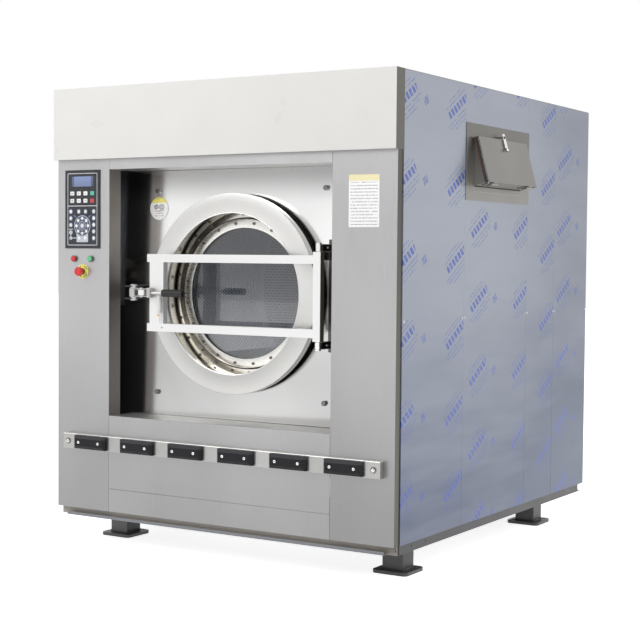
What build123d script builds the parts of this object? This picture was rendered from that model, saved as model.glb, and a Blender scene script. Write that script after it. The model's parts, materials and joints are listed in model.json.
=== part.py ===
from build123d import *
import math
import os

# Suspended washer-extractor of the 100 kg class, as an assembly.
# Millimetres. X to the viewer's right, Z up from the floor, and Y into the machine.
# While building, Y is counted from the front face of the two pillars. The saved pieces
# are moved so that the origin is the centre of the anchor holes in the feet.

# Driving sizes of the cabinet
header_height = 316
header_overhang = 3
header_forward = 26
header_return = 45
pillar_step = 8
lintel_height = 46
opening_side_room = 144
opening_room_above = 541
opening_room_below = 552
tub_side_room = 227
rear_room = 317
jamb_depth = 80
sill_depth = 172
kick_bottom = 165
sheet = 2
panel_return = 18
seam = 0.8
seat_gap = 0.3
fit_gap = 0.05
overrun = 10

# Base and feet
rail_bottom = 128
rail_height = 140
rail_wall = 4
rail_flange = 50
rail_lip_inset = 8
rail_web_inset = 34
rail_lip_end = 52
rail_return = 30
rail_rear_flange = 40
rail_lip = 14
side_rail_end_inset = 62
cross_rail_width = 120
foot_inset_x = 149
foot_front_inset = 307
foot_rear_inset = 345
foot_plate = 165
foot_plate_thick = 15
foot_post = 96
foot_corner = 22
anchor_offset = 58
anchor_hole_radius = 9

# Inner frame
post_side = 60
post_rail_rise = 788
post_wall = 3
pillar_lap = 55
header_lap = 60

# Side panel seams, counted from the front face
panel_seams = (594, 1254, 1580)

# Bumper rail
rail_end_inset = 53
bumper_rail_bottom = 437
bumper_rail_height = 69
bumper_rail_depth = 30
bumper_rail_sheet = 3
bumper_count = 6
bumper_length = 178
bumper_height = 60
bumper_depth = 26
bumper_bevel = 13
bumper_pitch = 262.5
bumper_screw_x = 56
bumper_shift = 6
bumper_screw_radius = 8
bumper_screw_depth = 4

# Control panel and buttons on the left pillar
bezel_inset = 145
bezel_width = 200
bezel_height = 350
bezel_depth = 5
bezel_frame = 13
bezel_recess = 1.5
lcd_width = 127
lcd_height = 46
lcd_drop = 28
lcd_depth = 1
button_rise = 145
button_offset = 48
button_radius = 12
button_ring_radius = 14.5
button_ring_depth = 9
button_floor = 1
button_proud = 4
button_cap = 7.7
button_stem_radius = 5
button_stem_reach = 14
button_bore_end = 20
button_barrel_radius = 11
block_gap = 1.7
button_block_side = 30
button_block_depth = 42
button_hole_radius = 11.3
estop_rise = 88
estop_plate_radius = 32.5
estop_plate_thick = 1.5
estop_collar_radius = 15
estop_collar_depth = 12
estop_stem_radius = 8
estop_head_radius = 20
estop_head_depth = 16
estop_head_round = 6
estop_lift = 9
estop_stem_reach = 14
estop_socket = 9
estop_grip_notches = 6
estop_notch_radius = 2

# Door: centre line, dished ring, glass
ring_face = 115
ring_rim = 13
ring_thick = 5
ring_lip = 35
ring_lip_thick = 4
ring_overlap = 13.5
dish_clear = 26
dish_wall = 4
dish_back = 236
dish_step = 32
flange_thick = 5
glass_pocket = 16
glass_hold = 24
pocket_margin = 3
glass_thick = 12
seal_side = 3
seal_lap = 12
clamp_clear = 5
clamp_thick = 6
clamp_bolt_out = 7
clamp_bolt_count = 20
clamp_bolt_shift = 0.5
clamp_bolt_radius = 6.5
clamp_bolt_height = 4
clamp_shank_radius = 3.5
gasket_room = 6
gasket_width = 26
gasket_base = 9
gasket_inset = 5
gasket_nose = 5

# Tub
tub_face = 180
tub_plate_margin = 15
tub_plate_thick = 10
tub_plate_corner = 60
mouth_clear = 36
collar_thick = 4
collar_length = 54
tub_length = 1070
tub_lift = 29
tub_wall = 6
tub_back_thick = 12
plate_bolt_x = 440
plate_bolt_z = 450
plate_bolt_radius = 12
plate_bolt_height = 12
tub_drain_radius = 60
tub_rim = 12
tub_rim_thick = 8
hoop_insets = (380, 400)
hoop_height = 10
hoop_width = 12
shaft_hole_radius = 72
drain_inset = 520

# Drum
drum_radius = 600
drum_wall = 4
drum_mouth_radius = 352
drum_lip = 28
drum_front = 290
drum_gap = 44
drum_rear_room = 35
drum_back_thick = 10
drum_boss_radius = 115
lifter_count = 3
lifter_width = 170
lifter_crest = 60
lifter_height = 112
lifter_end_gap = 20
lifter_start = 50
lifter_round = 18
lifter_wall = 4

# Shaft, bearings, pulleys, belts and motor
shaft_front_radius = 65
shaft_rear_radius = 55
shaft_front_length = 150
shaft_overhang = 26
shaft_flange_thick = 20
shaft_chamfer = 4
housing_flange_radius = 300
housing_flange_thick = 24
housing_hub_radius = 150
housing_neck_radius = 125
housing_length = 310
housing_rib_count = 6
housing_rib_thick = 16
housing_rib_inset = 20
housing_rib_root = 5
housing_taper = 50
housing_hub_length = 44
front_bearing_radius = 115
rear_bearing_radius = 100
bearing_width = 40
race_share = 5
race_groove = 6
housing_cavity_radius = 84
pulley_gap = 20
pulley_width = 84
pulley_radius = 340
pulley_rim = 26
pulley_web = 14
pulley_hub_radius = 95
pulley_hole_radius = 70
pulley_hole_circle = 205
pulley_hole_count = 5
belt_count = 3
belt_width = 18
belt_thick = 12
belt_pitch = 26
groove_depth = 12
groove_gap = 0.5
belt_clear = 0.5
motor_inset = 160
motor_rise = 172
motor_radius = 130
motor_length = 280
motor_pulley_radius = 75
motor_shaft_reach = 120
motor_bell = 40
motor_box = (90, 120, 55)
motor_foot_depth = 180
motor_foot_thick = 16
motor_web_width = 160
fin_height = 7
fin_thick = 4
motor_shaft_radius = 24
motor_fin_count = 28
motor_foot_width = 250

# Cradle, springs and dampers
beam_inset = 90
beam_side = 80
beam_rise = 120
beam_front = 220
beam_overhang = 50
saddle_insets = (240, 200)
saddle_thick = 14
saddle_inset = 50
saddle_depth = 387
beam_wall = 6
tie_inset = 60
tie_width = 60
spring_radius = 70
spring_waist = 10
spring_lobes = 3
damper_inset = 105
damper_radius = 26
damper_rod_radius = 10
damper_floor = 8
damper_rod_gap = 20
damper_nut_radius = 16
damper_nut = 8
damper_head = 36
damper_lug_width = 60
damper_lug_thick = 12

# Hinge of the door
hinge_out = 61
hinge_y = 35
arm_width = 26
arm_height = 30
arm_clear = 2
knuckle_radius = 13
pin_radius = 8
pin_reach = 30
pin_head = 5
hinge_foot = 70
hinge_foot_thick = 8
switch_shift = 14
switch_front = 64
switch_width = 44
switch_depth = 48
switch_height = 36

# Yoke across the door
yoke_tube = 35
yoke_depth = 30
yoke_face = 20
yoke_rise = 151
yoke_inset = 55
yoke_right_width = 36
yoke_right_rise = 183
yoke_plate_step = 32
yoke_plate_width = 75
standoff_inset = 71
standoff_radius = 15
wire_hole_step = 7
wire_hole_radius = 4

# Lock lever on the yoke and its keeper on the tub
lever_inset = 37
lever_y = 0
lever_arm = 40
t_block_width = 28
t_block_height = 36
t_block_depth = 26
roller_radius = 16
roller_height = 17
roller_pin_radius = 5
strap_thick = 4
strap_inner = 14
strap_depth = 22
fork_reach = 48
fork_width = 18
fork_height = 43
lever_rod_radius = 7
grip_reach = 73
grip_length = 107
grip_radius = 16
grip_rib_count = 9
grip_rib_depth = 1.6
lug_half = 12
lug_radius = 13
lug_clear = 8
lug_reach = 26
pin_overhang = 3
lever_pin_radius = 6
keeper_thick = 6
keeper_wall = 12
keeper_nose = 8
keeper_clear = 2
keeper_foot = 60
keeper_foot_thick = 8
keeper_foot_height = 90
keeper_nose_width = 16
keeper_web_front = 60
cross_pin = 73
grip_cap = 12

# Position sensor on the yoke
sensor_step = 61
sensor_radius = 9
sensor_drop = 10
sensor_length = 77
sensor_wire_radius = 2

# Powder hopper on the right side
hopper_frame_y = (596, 1256)
hopper_sheet = 2
hopper_drop = 414
hopper_hole_drop = 18.5
hopper_hole_height = 200
hopper_hole_margin = 5
hopper_seat = 0.5
hopper_frame_below = 60.5
hopper_frame_above = 69.5
hopper_frame_thick = 3
hopper_y = (672, 1163)
hopper_reach = 64
hopper_height = 190
hopper_tilt = 15
hopper_length = 390
hopper_apron_height = 22.5
hopper_apron_y = (667, 1155)
hopper_apron_thick = 2
outlet_inset = 44
outlet_radius = 25
outlet_wall = 3
outlet_drop = 121
lid_margin = 9
lid_depth = 14
lid_sheet = 2
lid_gasket_width = 14
lid_frame = 20
lid_skirt = 18
gasket_thick = 4
lid_pin_radius = 3
lid_knuckle_radius = 6
lid_knuckle_length = 40
box_knuckle_length = 12
knuckle_gap = 0.5
box_strap = 40
box_strap_thick = 5
lid_knuckle_inset = 60
lid_axis_drop = 9
lid_axis_out = 4
latch_width = 24
latch_plate = 3
latch_rise = 152
latch_reach = 72
latch_barrel_radius = 5.5
latch_stand = 6
latch_pin_radius = 3
latch_ear = 5
latch_ear_side = 12
latch_slot = (15, 13)
latch_slot_rise = 208.5
staple = (37.7, 8, 6)
staple_rise = 206.6
hose_radius = 31
hose_bore = 26.5
hose_grip = 16
hose_ends = (45, 17)
hose_ribs = 5
hose_rib_depth = 4
hose_rib_width = 5
hose_rib_pitch = 10
hose_rib_start = 12
nozzle_reach = 28

# Electric box, supplies, drain
box_depth = 445
box_width = 166
box_head = 34
box_gland = 14
box_door_proud = 3
box_door_margin = 14
supply_xs = (-520, -380, -250)
supply_radii = (30, 30, 17)
supply_drop = 250
supply_inside = 150
supply_outside = 45
supply_wall = 3
supply_flange = 16
supply_flange_thick = 10
supply_hole_gap = 0.8
drain_pipe_radius = 50
drain_pipe_wall = 4
drain_pipe_rise = 54
drain_outside = 60
drain_front = 640
drain_cup_height = 50
drain_saddle = (60, 40)
drain_outlet_drop = 27
drain_outlet_wall = 5
drain_spigot_radius = 34
drain_spigot_wall = 4
drain_spigot_lap = 22
drain_valve_radius = 75
drain_valve_height = 70
drain_actuator = (95, 60, 56)
louvre_count = 8
louvre_length = 420
louvre_height = 10
louvre_pitch = 40
louvre_z = 420

# Derived places: the tub round the drum, and the cabinet round the tub
tub_radius = drum_radius + drum_gap + tub_wall
rail_top = rail_bottom + rail_height
beam_bottom = rail_top + beam_rise
beam_top = beam_bottom + beam_side
door_z = beam_top + tub_lift + tub_radius
opening_bottom = door_z - opening_room_below
opening_top = door_z + opening_room_above
bezel_top = opening_top
header_bottom = opening_top + lintel_height
cabinet_height = header_bottom + header_height
cabinet_width = 2 * (tub_radius + tub_side_room)
header_width = cabinet_width + header_overhang
pillar_width = cabinet_width - pillar_step
rail_lip_span = cabinet_width - 2 * rail_lip_end
rail_span = pillar_width - 2 * rail_end_inset

# The drum, its shaft and its drive, from front to back
tub_back = tub_face + tub_length
drum_back = tub_back - drum_rear_room
shaft_step = tub_back + shaft_front_length
housing_end = tub_back + housing_length
pulley_front = housing_end + pulley_gap
shaft_end = pulley_front + pulley_width + shaft_overhang
motor_back = pulley_front - pulley_gap
motor_front = motor_back - motor_length
motor_z = beam_top + motor_rise
beam_back = shaft_end + beam_overhang
cabinet_depth = shaft_end + rear_room
foot_span_y = cabinet_depth - foot_front_inset - foot_rear_inset
saddle_ys = (tub_face + saddle_insets[0], tub_back - saddle_insets[1])
hoop_ys = (tub_face + hoop_insets[0], tub_back - hoop_insets[1])
tie_ys = (motor_front + tie_inset, motor_back - tie_inset)
drain_y = tub_face + drain_inset
tub_plate_side = 2 * (tub_radius + tub_plate_margin)
saddle_half_width = tub_radius - saddle_inset
saddle_top = door_z - saddle_depth
beam_x = tub_radius - beam_inset
motor_x = motor_inset - beam_x
damper_x = beam_x - damper_inset
damper_top = beam_bottom - damper_head

# The mouth and the door in front of it, from the drum outwards
mouth_radius = drum_mouth_radius + mouth_clear
gasket_inner = mouth_radius + gasket_room
gasket_outer = gasket_inner + gasket_width
ring_radius = gasket_outer + ring_rim
dish_radius = mouth_radius - dish_clear
ring_hole_radius = dish_radius - ring_overlap
flange_radius = dish_radius - dish_step
clamp_radius = flange_radius - clamp_clear
glass_edge = clamp_radius - glass_hold
seal_inner = glass_edge - seal_lap
pocket_radius = seal_inner - pocket_margin
clamp_bolt_circle = glass_edge + clamp_bolt_out
opening_width = 2 * (ring_radius + opening_side_room)

half_cabinet = cabinet_width / 2
half_pillar = pillar_width / 2
half_opening = opening_width / 2
foot_x = half_cabinet - foot_inset_x
foot_ys = (foot_front_inset, foot_front_inset + foot_span_y)
origin_y = foot_front_inset + foot_span_y / 2
rail_outer = half_cabinet - sheet - seat_gap
rail_inner = rail_outer - rail_wall
above_rails = rail_top + seat_gap
frame_top = cabinet_height - sheet - seat_gap
post_outer = half_cabinet - sheet - panel_return - seat_gap
post_inner = post_outer - post_side
post_rail_z = rail_top + post_rail_rise
front_posts = (header_return + seat_gap, header_return + seat_gap + post_side)
rear_posts = (cabinet_depth - sheet - seat_gap - post_side, cabinet_depth - sheet - seat_gap)
side_rail_end = cabinet_depth - side_rail_end_inset
bezel_x = bezel_inset - half_pillar
button_z = door_z + button_rise
estop_z = door_z + estop_rise
door_back = dish_back + glass_pocket
pocket_face = door_back - flange_thick
glass_back = pocket_face - seat_gap - seal_side - seat_gap
glass_front = glass_back - glass_thick
seal_front = glass_front - seat_gap - seal_side
clamp_face = seal_front - seat_gap - clamp_thick

# The yoke, its hinge and its lock, from the rim of the door ring
hinge_x = ring_radius + hinge_out
switch_x = hinge_x + switch_shift
yoke_back = yoke_face + yoke_depth
yoke_left = yoke_inset - ring_radius
standoff_x = ring_radius - standoff_inset
lever_pivot_x = lever_inset - ring_radius
lever_t_x = lever_pivot_x - lever_arm
fork_x = lever_pivot_x + fork_reach
grip_start = fork_x + grip_reach
grip_end = grip_start + grip_length
yoke_plate_left = lever_pivot_x + yoke_plate_step
sensor_x = yoke_plate_left + sensor_step
sensor_top = door_z - sensor_drop
wire_hole_x = sensor_x + wire_hole_step

# The hopper, its outlet and its hose, the supplies and the drain
hopper_mouth_x = half_cabinet + hopper_reach
hopper_mouth_z = cabinet_height - hopper_drop
hopper_hole_z = (hopper_mouth_z - hopper_hole_drop, hopper_mouth_z - hopper_hole_drop + hopper_hole_height)
hopper_frame_z = (hopper_hole_z[0] - hopper_frame_below, hopper_hole_z[1] + hopper_frame_above)
hopper_apron_bottom = hopper_hole_z[0] - hopper_apron_height
hopper_middle = (hopper_y[0] + hopper_y[1]) / 2
staple_z = hopper_mouth_z + staple_rise
outlet_x = tub_radius - outlet_inset
outlet_bottom = hopper_mouth_z - outlet_drop
hose_z = (outlet_bottom - hose_ends[0], outlet_bottom + hose_ends[1])
nozzle_top = hose_z[0] + nozzle_reach
box_top = header_bottom - box_head
supply_z = cabinet_height - supply_drop
drain_axis_z = rail_top + drain_pipe_rise
drain_cup_top = drain_axis_z + drain_cup_height
drain_spigot_end = drain_cup_top - drain_spigot_lap
drain_outlet_bottom = door_z - tub_radius - drain_outlet_drop
hopper_out = Plane(
    origin=(hopper_mouth_x, 0, hopper_mouth_z),
    x_dir=(math.cos(math.radians(hopper_tilt)), 0, math.sin(math.radians(hopper_tilt))),
    z_dir=(-math.sin(math.radians(hopper_tilt)), 0, math.cos(math.radians(hopper_tilt))),
)


def block(x, y, z):
    """A block between three pairs of limits."""
    centre = [(low + high) / 2 for low, high in (x, y, z)]
    return Pos(*centre) * Box(*[high - low for low, high in (x, y, z)])


def around(middle, length):
    """The pair of limits of a length centred on a place."""
    return (middle - length / 2, middle + length / 2)


def rod_y(radius, y, x=0, z=door_z):
    """A round bar along Y."""
    return Pos(x, (y[0] + y[1]) / 2, z) * Rot(X=90) * Cylinder(radius, y[1] - y[0])


def rod_z(radius, z, x, y):
    """A round bar along Z."""
    return Pos(x, y, (z[0] + z[1]) / 2) * Cylinder(radius, z[1] - z[0])


def between(one, other):
    """The pair of limits of two places given in either order."""
    return (min(one, other), max(one, other))


def rod_x(radius, x, y, z):
    """A round bar along X."""
    return Pos((x[0] + x[1]) / 2, y, z) * Rot(Y=90) * Cylinder(radius, x[1] - x[0])


def tube_y(outer, inner, y, x=0, z=door_z):
    """A round tube along Y."""
    return rod_y(outer, y, x, z) - rod_y(inner, (y[0] - overrun, y[1] + overrun), x, z)


def turned(points, z=door_z):
    """A turned piece about the door's centre line, from its (radius, y) outline."""
    face = make_face(Polyline(*points, close=True))
    return Pos(0, 0, z) * revolve(face, Axis.Y)


def mirrored(solid):
    """A piece and its mirror image across the middle of the machine."""
    return [solid, solid.mirror(Plane.YZ)]


def save(name, *solids):
    """Write one node, moved from the front face to the anchor pattern's centre."""
    moved = [Pos(0, -origin_y, 0) * solid for solid in solids]
    export_step(Compound(children=moved) if len(moved) > 1 else moved[0], f"parts/{name}.step")


# Base, feet and inner frame
def feet():
    made = []
    for y in foot_ys:
        for side in (-1, 1):
            x = side * foot_x
            foot = Pos(x, y, 0) * extrude(RectangleRounded(foot_plate, foot_plate, foot_corner),
                                          foot_plate_thick)
            foot += block(around(x, foot_post), around(y, foot_post), (0, rail_bottom - seat_gap))
            for step in (-1, 1):
                hole_x = x + step * side * anchor_offset
                hole_y = y + step * math.copysign(anchor_offset, y - origin_y)
                foot -= rod_z(anchor_hole_radius, (-overrun, foot_plate_thick + overrun), hole_x, hole_y)
            made.append(foot)
    return made


def base_rails():
    """Side channels, front and rear channels and two hollow cross rails, as one welded base."""
    full = (rail_bottom, rail_top)
    low = (rail_bottom, rail_bottom + rail_wall)
    high = (rail_top - rail_wall, rail_top)
    along = (front_posts[0], side_rail_end)
    across = (-rail_inner, rail_inner)
    web_front = rail_web_inset - rail_wall
    side = block((rail_inner, rail_outer), along, full)
    for level in (low, high):
        side += block((rail_outer - rail_flange, rail_outer), along, level)
    side += block((rail_inner - rail_wall, rail_inner), (web_front, web_front + rail_return), full)
    base = side + side.mirror(Plane.YZ)
    base += block(across, (web_front, rail_web_inset), full)
    base += block(across, (sheet + seat_gap, rail_web_inset), high)
    base += block(around(0, rail_lip_span), (rail_lip_inset, rail_web_inset), low)
    base += block(around(0, rail_lip_span), (rail_lip_inset, rail_lip_inset + rail_wall),
                  (rail_bottom, rail_bottom + rail_lip))
    rear = side_rail_end - rail_wall
    base += block(across, (rear, side_rail_end), full)
    base += block(across, (rear, rear_posts[1]), high)
    base += block(across, (rear, rear + rail_rear_flange), low)
    for y in foot_ys:
        tube = block(across, around(y, cross_rail_width), full)
        hollow = block(across, around(y, cross_rail_width - 2 * rail_wall), (low[1], high[0]))
        base += tube - hollow
    return base


def frame_bars(inset):
    """Four posts, the rails between their tops and one rail along each side, drawn in by an inset."""
    posts_x = (post_inner + inset, post_outer - inset)
    ends = [(low + inset, high - inset) for low, high in (front_posts, rear_posts)]
    top = (frame_top - post_side + inset, frame_top - inset)
    between_posts = (ends[0][0], ends[1][1])
    side = block(posts_x, between_posts, top)
    side += block(posts_x, between_posts, around(post_rail_z, post_side - 2 * inset))
    for y in ends:
        side += block(posts_x, y, (above_rails - inset, frame_top - inset))
    bars = side + side.mirror(Plane.YZ)
    for y in ends:
        bars += block((-posts_x[0], posts_x[0]), y, top)
    return bars


def inner_frame():
    """The frame of square tube, open at the feet of its posts."""
    return frame_bars(0) - frame_bars(post_wall)


# Cabinet panels
def pillar():
    """The right front pillar: face, outer return, lap on the post, and the jamb of the opening."""
    top = header_bottom - seat_gap
    made = block((half_opening, half_pillar), (0, sheet), (kick_bottom, top))
    made += block((half_pillar - sheet, half_pillar), (0, header_return), (kick_bottom, top))
    made += block((half_pillar - pillar_lap, half_pillar), (header_return - sheet, header_return),
                  (above_rails, top))
    made += block((half_opening, half_opening + sheet), (0, jamb_depth), (above_rails, top))
    made += block((half_opening, half_opening + panel_return), (jamb_depth - sheet, jamb_depth),
                  (above_rails, top))
    return made


def pillar_left():
    made = pillar().mirror(Plane.YZ)
    for x in (bezel_x - button_offset, bezel_x + button_offset):
        made -= rod_y(button_hole_radius, (-overrun, overrun), x, button_z)
    return made - rod_y(button_hole_radius, (-overrun, overrun), bezel_x, estop_z)


def header_panel():
    outer = block(around(0, header_width), (-header_forward, header_return), (header_bottom, cabinet_height))
    room = block(around(0, header_width - 2 * sheet), (sheet - header_forward, header_return - sheet),
                 (header_bottom + sheet, cabinet_height - sheet))
    door = block(around(0, header_width - 2 * header_lap), (0, header_return + overrun),
                 (header_bottom + sheet, cabinet_height - header_lap))
    return outer - room - door


def front_panels():
    """The lintel above the opening, the sill box below it, and the kick panel."""
    across = (seam - half_opening, half_opening - seam)
    lintel = block(across, (0, sheet), (opening_top, header_bottom - seat_gap))
    lintel += block(across, (0, sill_depth), (opening_top, opening_top + sheet))
    lintel += block(across, (sill_depth - sheet, sill_depth), (opening_top, opening_top + panel_return))
    sill = block(across, (0, sheet), (above_rails, opening_bottom))
    sill += block(across, (0, sill_depth), (opening_bottom - sheet, opening_bottom))
    sill += block(across, (sill_depth - sheet, sill_depth), (opening_bottom - panel_return, opening_bottom))
    sill += block(across, (0, panel_return), (above_rails, above_rails + sheet))
    kick = block(across, (0, sheet), (kick_bottom, above_rails - seam))
    kick += block(across, (0, panel_return), (kick_bottom, kick_bottom + sheet))
    return [lintel, sill, kick]


def side_panel(start, end, last):
    """One sheet of the right side, with a return at each joint."""
    limits = (start + seam / 2, end - seam / 2)
    made = block((half_cabinet - sheet, half_cabinet), limits, (kick_bottom, frame_top))
    inside = (half_cabinet - sheet - panel_return, half_cabinet)
    made += block(inside, (limits[0], limits[0] + sheet), (above_rails, frame_top))
    if not last:
        made += block(inside, (limits[1] - sheet, limits[1]), (above_rails, frame_top))
    return made


def side_sheets():
    edges = [header_return + seam / 2] + list(panel_seams) + [cabinet_depth + seam / 2]
    return [side_panel(edges[i], edges[i + 1], i == len(edges) - 2) for i in range(len(edges) - 1)]


def hopper_panel(whole):
    """The sheets below and above the gap that the hopper's frame plate covers."""
    margin = hopper_hole_margin
    gap = block(around(half_cabinet, 2 * (sheet + panel_return) + seam), (panel_seams[0], panel_seams[1]),
                (hopper_hole_z[0] - margin, hopper_hole_z[1] + margin))
    return (whole - gap).solids()


def rear_panel():
    inside = half_cabinet - sheet - seat_gap
    made = block((-inside, inside), (cabinet_depth - sheet, cabinet_depth), (kick_bottom, frame_top))
    for flange in mirrored(block((inside - sheet, inside), (cabinet_depth - panel_return, cabinet_depth),
                                 (above_rails, frame_top))):
        made += flange
    through = (cabinet_depth - panel_return, cabinet_depth + overrun)
    for x, radius in zip(supply_xs, supply_radii):
        made -= rod_y(radius + supply_hole_gap, through, x, supply_z)
    made -= rod_y(drain_pipe_radius + supply_hole_gap, through, 0, drain_axis_z)
    for i in range(louvre_count):
        made -= block(around(0, louvre_length), through, around(louvre_z + i * louvre_pitch, louvre_height))
    return made


def top_panel():
    return block((-half_cabinet, half_cabinet), (header_return + seam, cabinet_depth),
                 (cabinet_height - sheet, cabinet_height))


def bumper_rail():
    top = bumper_rail_bottom + bumper_rail_height
    wall = bumper_rail_sheet
    outer = block(around(bumper_shift, rail_span), (-bumper_rail_depth, -seat_gap), (bumper_rail_bottom, top))
    return outer - block(around(bumper_shift, rail_span - 2 * wall), (wall - bumper_rail_depth, 0),
                         (bumper_rail_bottom + wall, top - wall))


def bumper_pads():
    made = []
    back = -bumper_rail_depth - seat_gap
    middle = bumper_rail_bottom + bumper_rail_height / 2
    for i in range(bumper_count):
        x = bumper_shift + (i - (bumper_count - 1) / 2) * bumper_pitch
        pad = block(around(x, bumper_length), (back - bumper_depth, back), around(middle, bumper_height))
        pad = chamfer(pad.faces().sort_by(Axis.Y)[0].edges(), bumper_bevel)
        recess = (back - 2 * bumper_depth, back - bumper_depth + bumper_screw_depth)
        for side in (-1, 1):
            pad -= rod_y(bumper_screw_radius, recess, x + side * bumper_screw_x, middle)
        made.append(pad)
    return made


# Controls
def control_bezel():
    limits = around(bezel_x, bezel_width)
    height = (bezel_top - bezel_height, bezel_top)
    made = block(limits, (-bezel_depth - seat_gap, -seat_gap), height)
    face = -bezel_depth - seat_gap
    made -= block((limits[0] + bezel_frame, limits[1] - bezel_frame), (face - overrun, face + bezel_recess),
                  (height[0] + bezel_frame, height[1] - bezel_frame))
    screen = bezel_top - lcd_drop - lcd_height / 2
    made -= block(around(bezel_x, lcd_width), (face, face + bezel_recess + lcd_depth),
                  around(screen, lcd_height))
    return made


def button_housing(x, z, ring_depth, ring_radius, bore, bore_end):
    """A ring in front of the pillar, a barrel through it and a contact block behind it."""
    made = rod_y(ring_radius, (-ring_depth - seat_gap, -seat_gap), x, z)
    made += rod_y(button_barrel_radius, (-seat_gap, sheet + block_gap), x, z)
    made += block(around(x, button_block_side), (sheet + seat_gap, sheet + seat_gap + button_block_depth),
                  around(z, button_block_side))
    return made - rod_y(bore, (-ring_depth - overrun, bore_end), x, z)


def button_housings():
    made = []
    for x in (bezel_x - button_offset, bezel_x + button_offset):
        housing = button_housing(x, button_z, button_ring_depth, button_ring_radius, button_radius + fit_gap,
                                 -button_floor - seat_gap)
        made.append(housing - rod_y(button_stem_radius + fit_gap, (-overrun, button_bore_end), x, button_z))
    collar = button_housing(bezel_x, estop_z, estop_collar_depth + estop_plate_thick, estop_collar_radius,
                            estop_stem_radius + fit_gap, button_bore_end)
    made.append(collar - estop_plate_room())
    return made


def estop_plate_room():
    """The ring that the yellow disc takes out of the collar."""
    return tube_y(estop_plate_radius + overrun, button_barrel_radius,
                  (-estop_plate_thick - 2 * seat_gap, 0), bezel_x, estop_z)


def estop_plate():
    return tube_y(estop_plate_radius, button_barrel_radius + seat_gap,
                  (-estop_plate_thick - seat_gap, -seat_gap), bezel_x, estop_z)


def push_button(x):
    front = -button_ring_depth - seat_gap - button_proud
    made = rod_y(button_radius, (front, front + button_cap), x, button_z)
    return made + rod_y(button_stem_radius, (front + button_cap, button_stem_reach), x, button_z)


def estop_front():
    """Where the back of the mushroom stands, in front of its collar."""
    return -estop_collar_depth - estop_plate_thick - seat_gap - estop_lift


def estop_stem():
    return rod_y(estop_stem_radius, (estop_front() - estop_socket, estop_stem_reach), bezel_x, estop_z)


def estop_mushroom():
    back = estop_front()
    made = rod_y(estop_head_radius, (back - estop_head_depth, back), bezel_x, estop_z)
    made = fillet(made.edges().filter_by(GeomType.CIRCLE).sort_by(Axis.Y)[0], estop_head_round)
    for i in range(estop_grip_notches):
        angle = math.radians(i * 360 / estop_grip_notches)
        made -= rod_y(estop_notch_radius, (back - estop_head_depth, back + overrun),
                      bezel_x + estop_head_radius * math.cos(angle),
                      estop_z + estop_head_radius * math.sin(angle))
    return made - rod_y(estop_stem_radius + fit_gap, (back - estop_socket - seat_gap, back + overrun),
                        bezel_x, estop_z)


# Powder hopper
def tilted(u, y, w):
    """A block in the hopper's own directions: out along it, across it, and up its mouth."""
    return hopper_out * block(u, y, w)


def tilted_rod(radius, u, y, w):
    """A round bar across the hopper at a place in its mouth plane."""
    return hopper_out * rod_y(radius, y, u, w)


def hopper_frame():
    face = (half_cabinet + seat_gap, half_cabinet + seat_gap + hopper_frame_thick)
    made = block(face, hopper_frame_y, hopper_frame_z)
    made -= block(around(half_cabinet, 2 * panel_return),
                  (hopper_y[0] - hopper_seat, hopper_y[1] + hopper_seat),
                  hopper_hole_z)
    made += block((face[0], face[1] + hopper_apron_thick), hopper_apron_y,
                  (hopper_apron_bottom, hopper_hole_z[0]))
    return made + block((face[0], face[0] + staple[0]), around(hopper_middle, staple[1]),
                        around(staple_z, staple[2]))


def hopper_box():
    wall = hopper_sheet
    room = tilted((wall - hopper_length, overrun), (hopper_y[0] + wall, hopper_y[1] - wall),
                  (wall, hopper_height - wall))
    made = tilted((-hopper_length, 0), hopper_y, (0, hopper_height)) - room
    made += rod_z(outlet_radius, (outlet_bottom, hopper_mouth_z), outlet_x, hopper_middle) - room
    made -= rod_z(outlet_radius - outlet_wall, (outlet_bottom - overrun, hopper_mouth_z), outlet_x,
                  hopper_middle)
    for end in (hopper_y[0] + lid_knuckle_inset, hopper_y[1] - lid_knuckle_inset):
        offset = (lid_knuckle_length + box_knuckle_length) / 2 + knuckle_gap
        for side in (-1, 1):
            y = around(end + side * offset, box_knuckle_length)
            made += tilted_rod(lid_knuckle_radius, lid_axis_out, y, -lid_axis_drop)
            made += tilted((-box_strap, lid_axis_out), y, (-box_strap_thick, 0))
            made += tilted((lid_axis_out - lid_pin_radius, lid_axis_out), y, (-lid_axis_drop, 0))
        pin = around(end, lid_knuckle_length + 2 * box_knuckle_length)
        made += tilted_rod(lid_pin_radius, lid_axis_out, pin, -lid_axis_drop)
    return made


def lid_gasket():
    rim = (seat_gap, gasket_thick)
    inner = (hopper_y[0] + lid_gasket_width, hopper_y[1] - lid_gasket_width)
    made = tilted(rim, hopper_y, (0, hopper_height))
    return made - tilted((-overrun, overrun), inner, (lid_gasket_width, hopper_height - lid_gasket_width))


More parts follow.
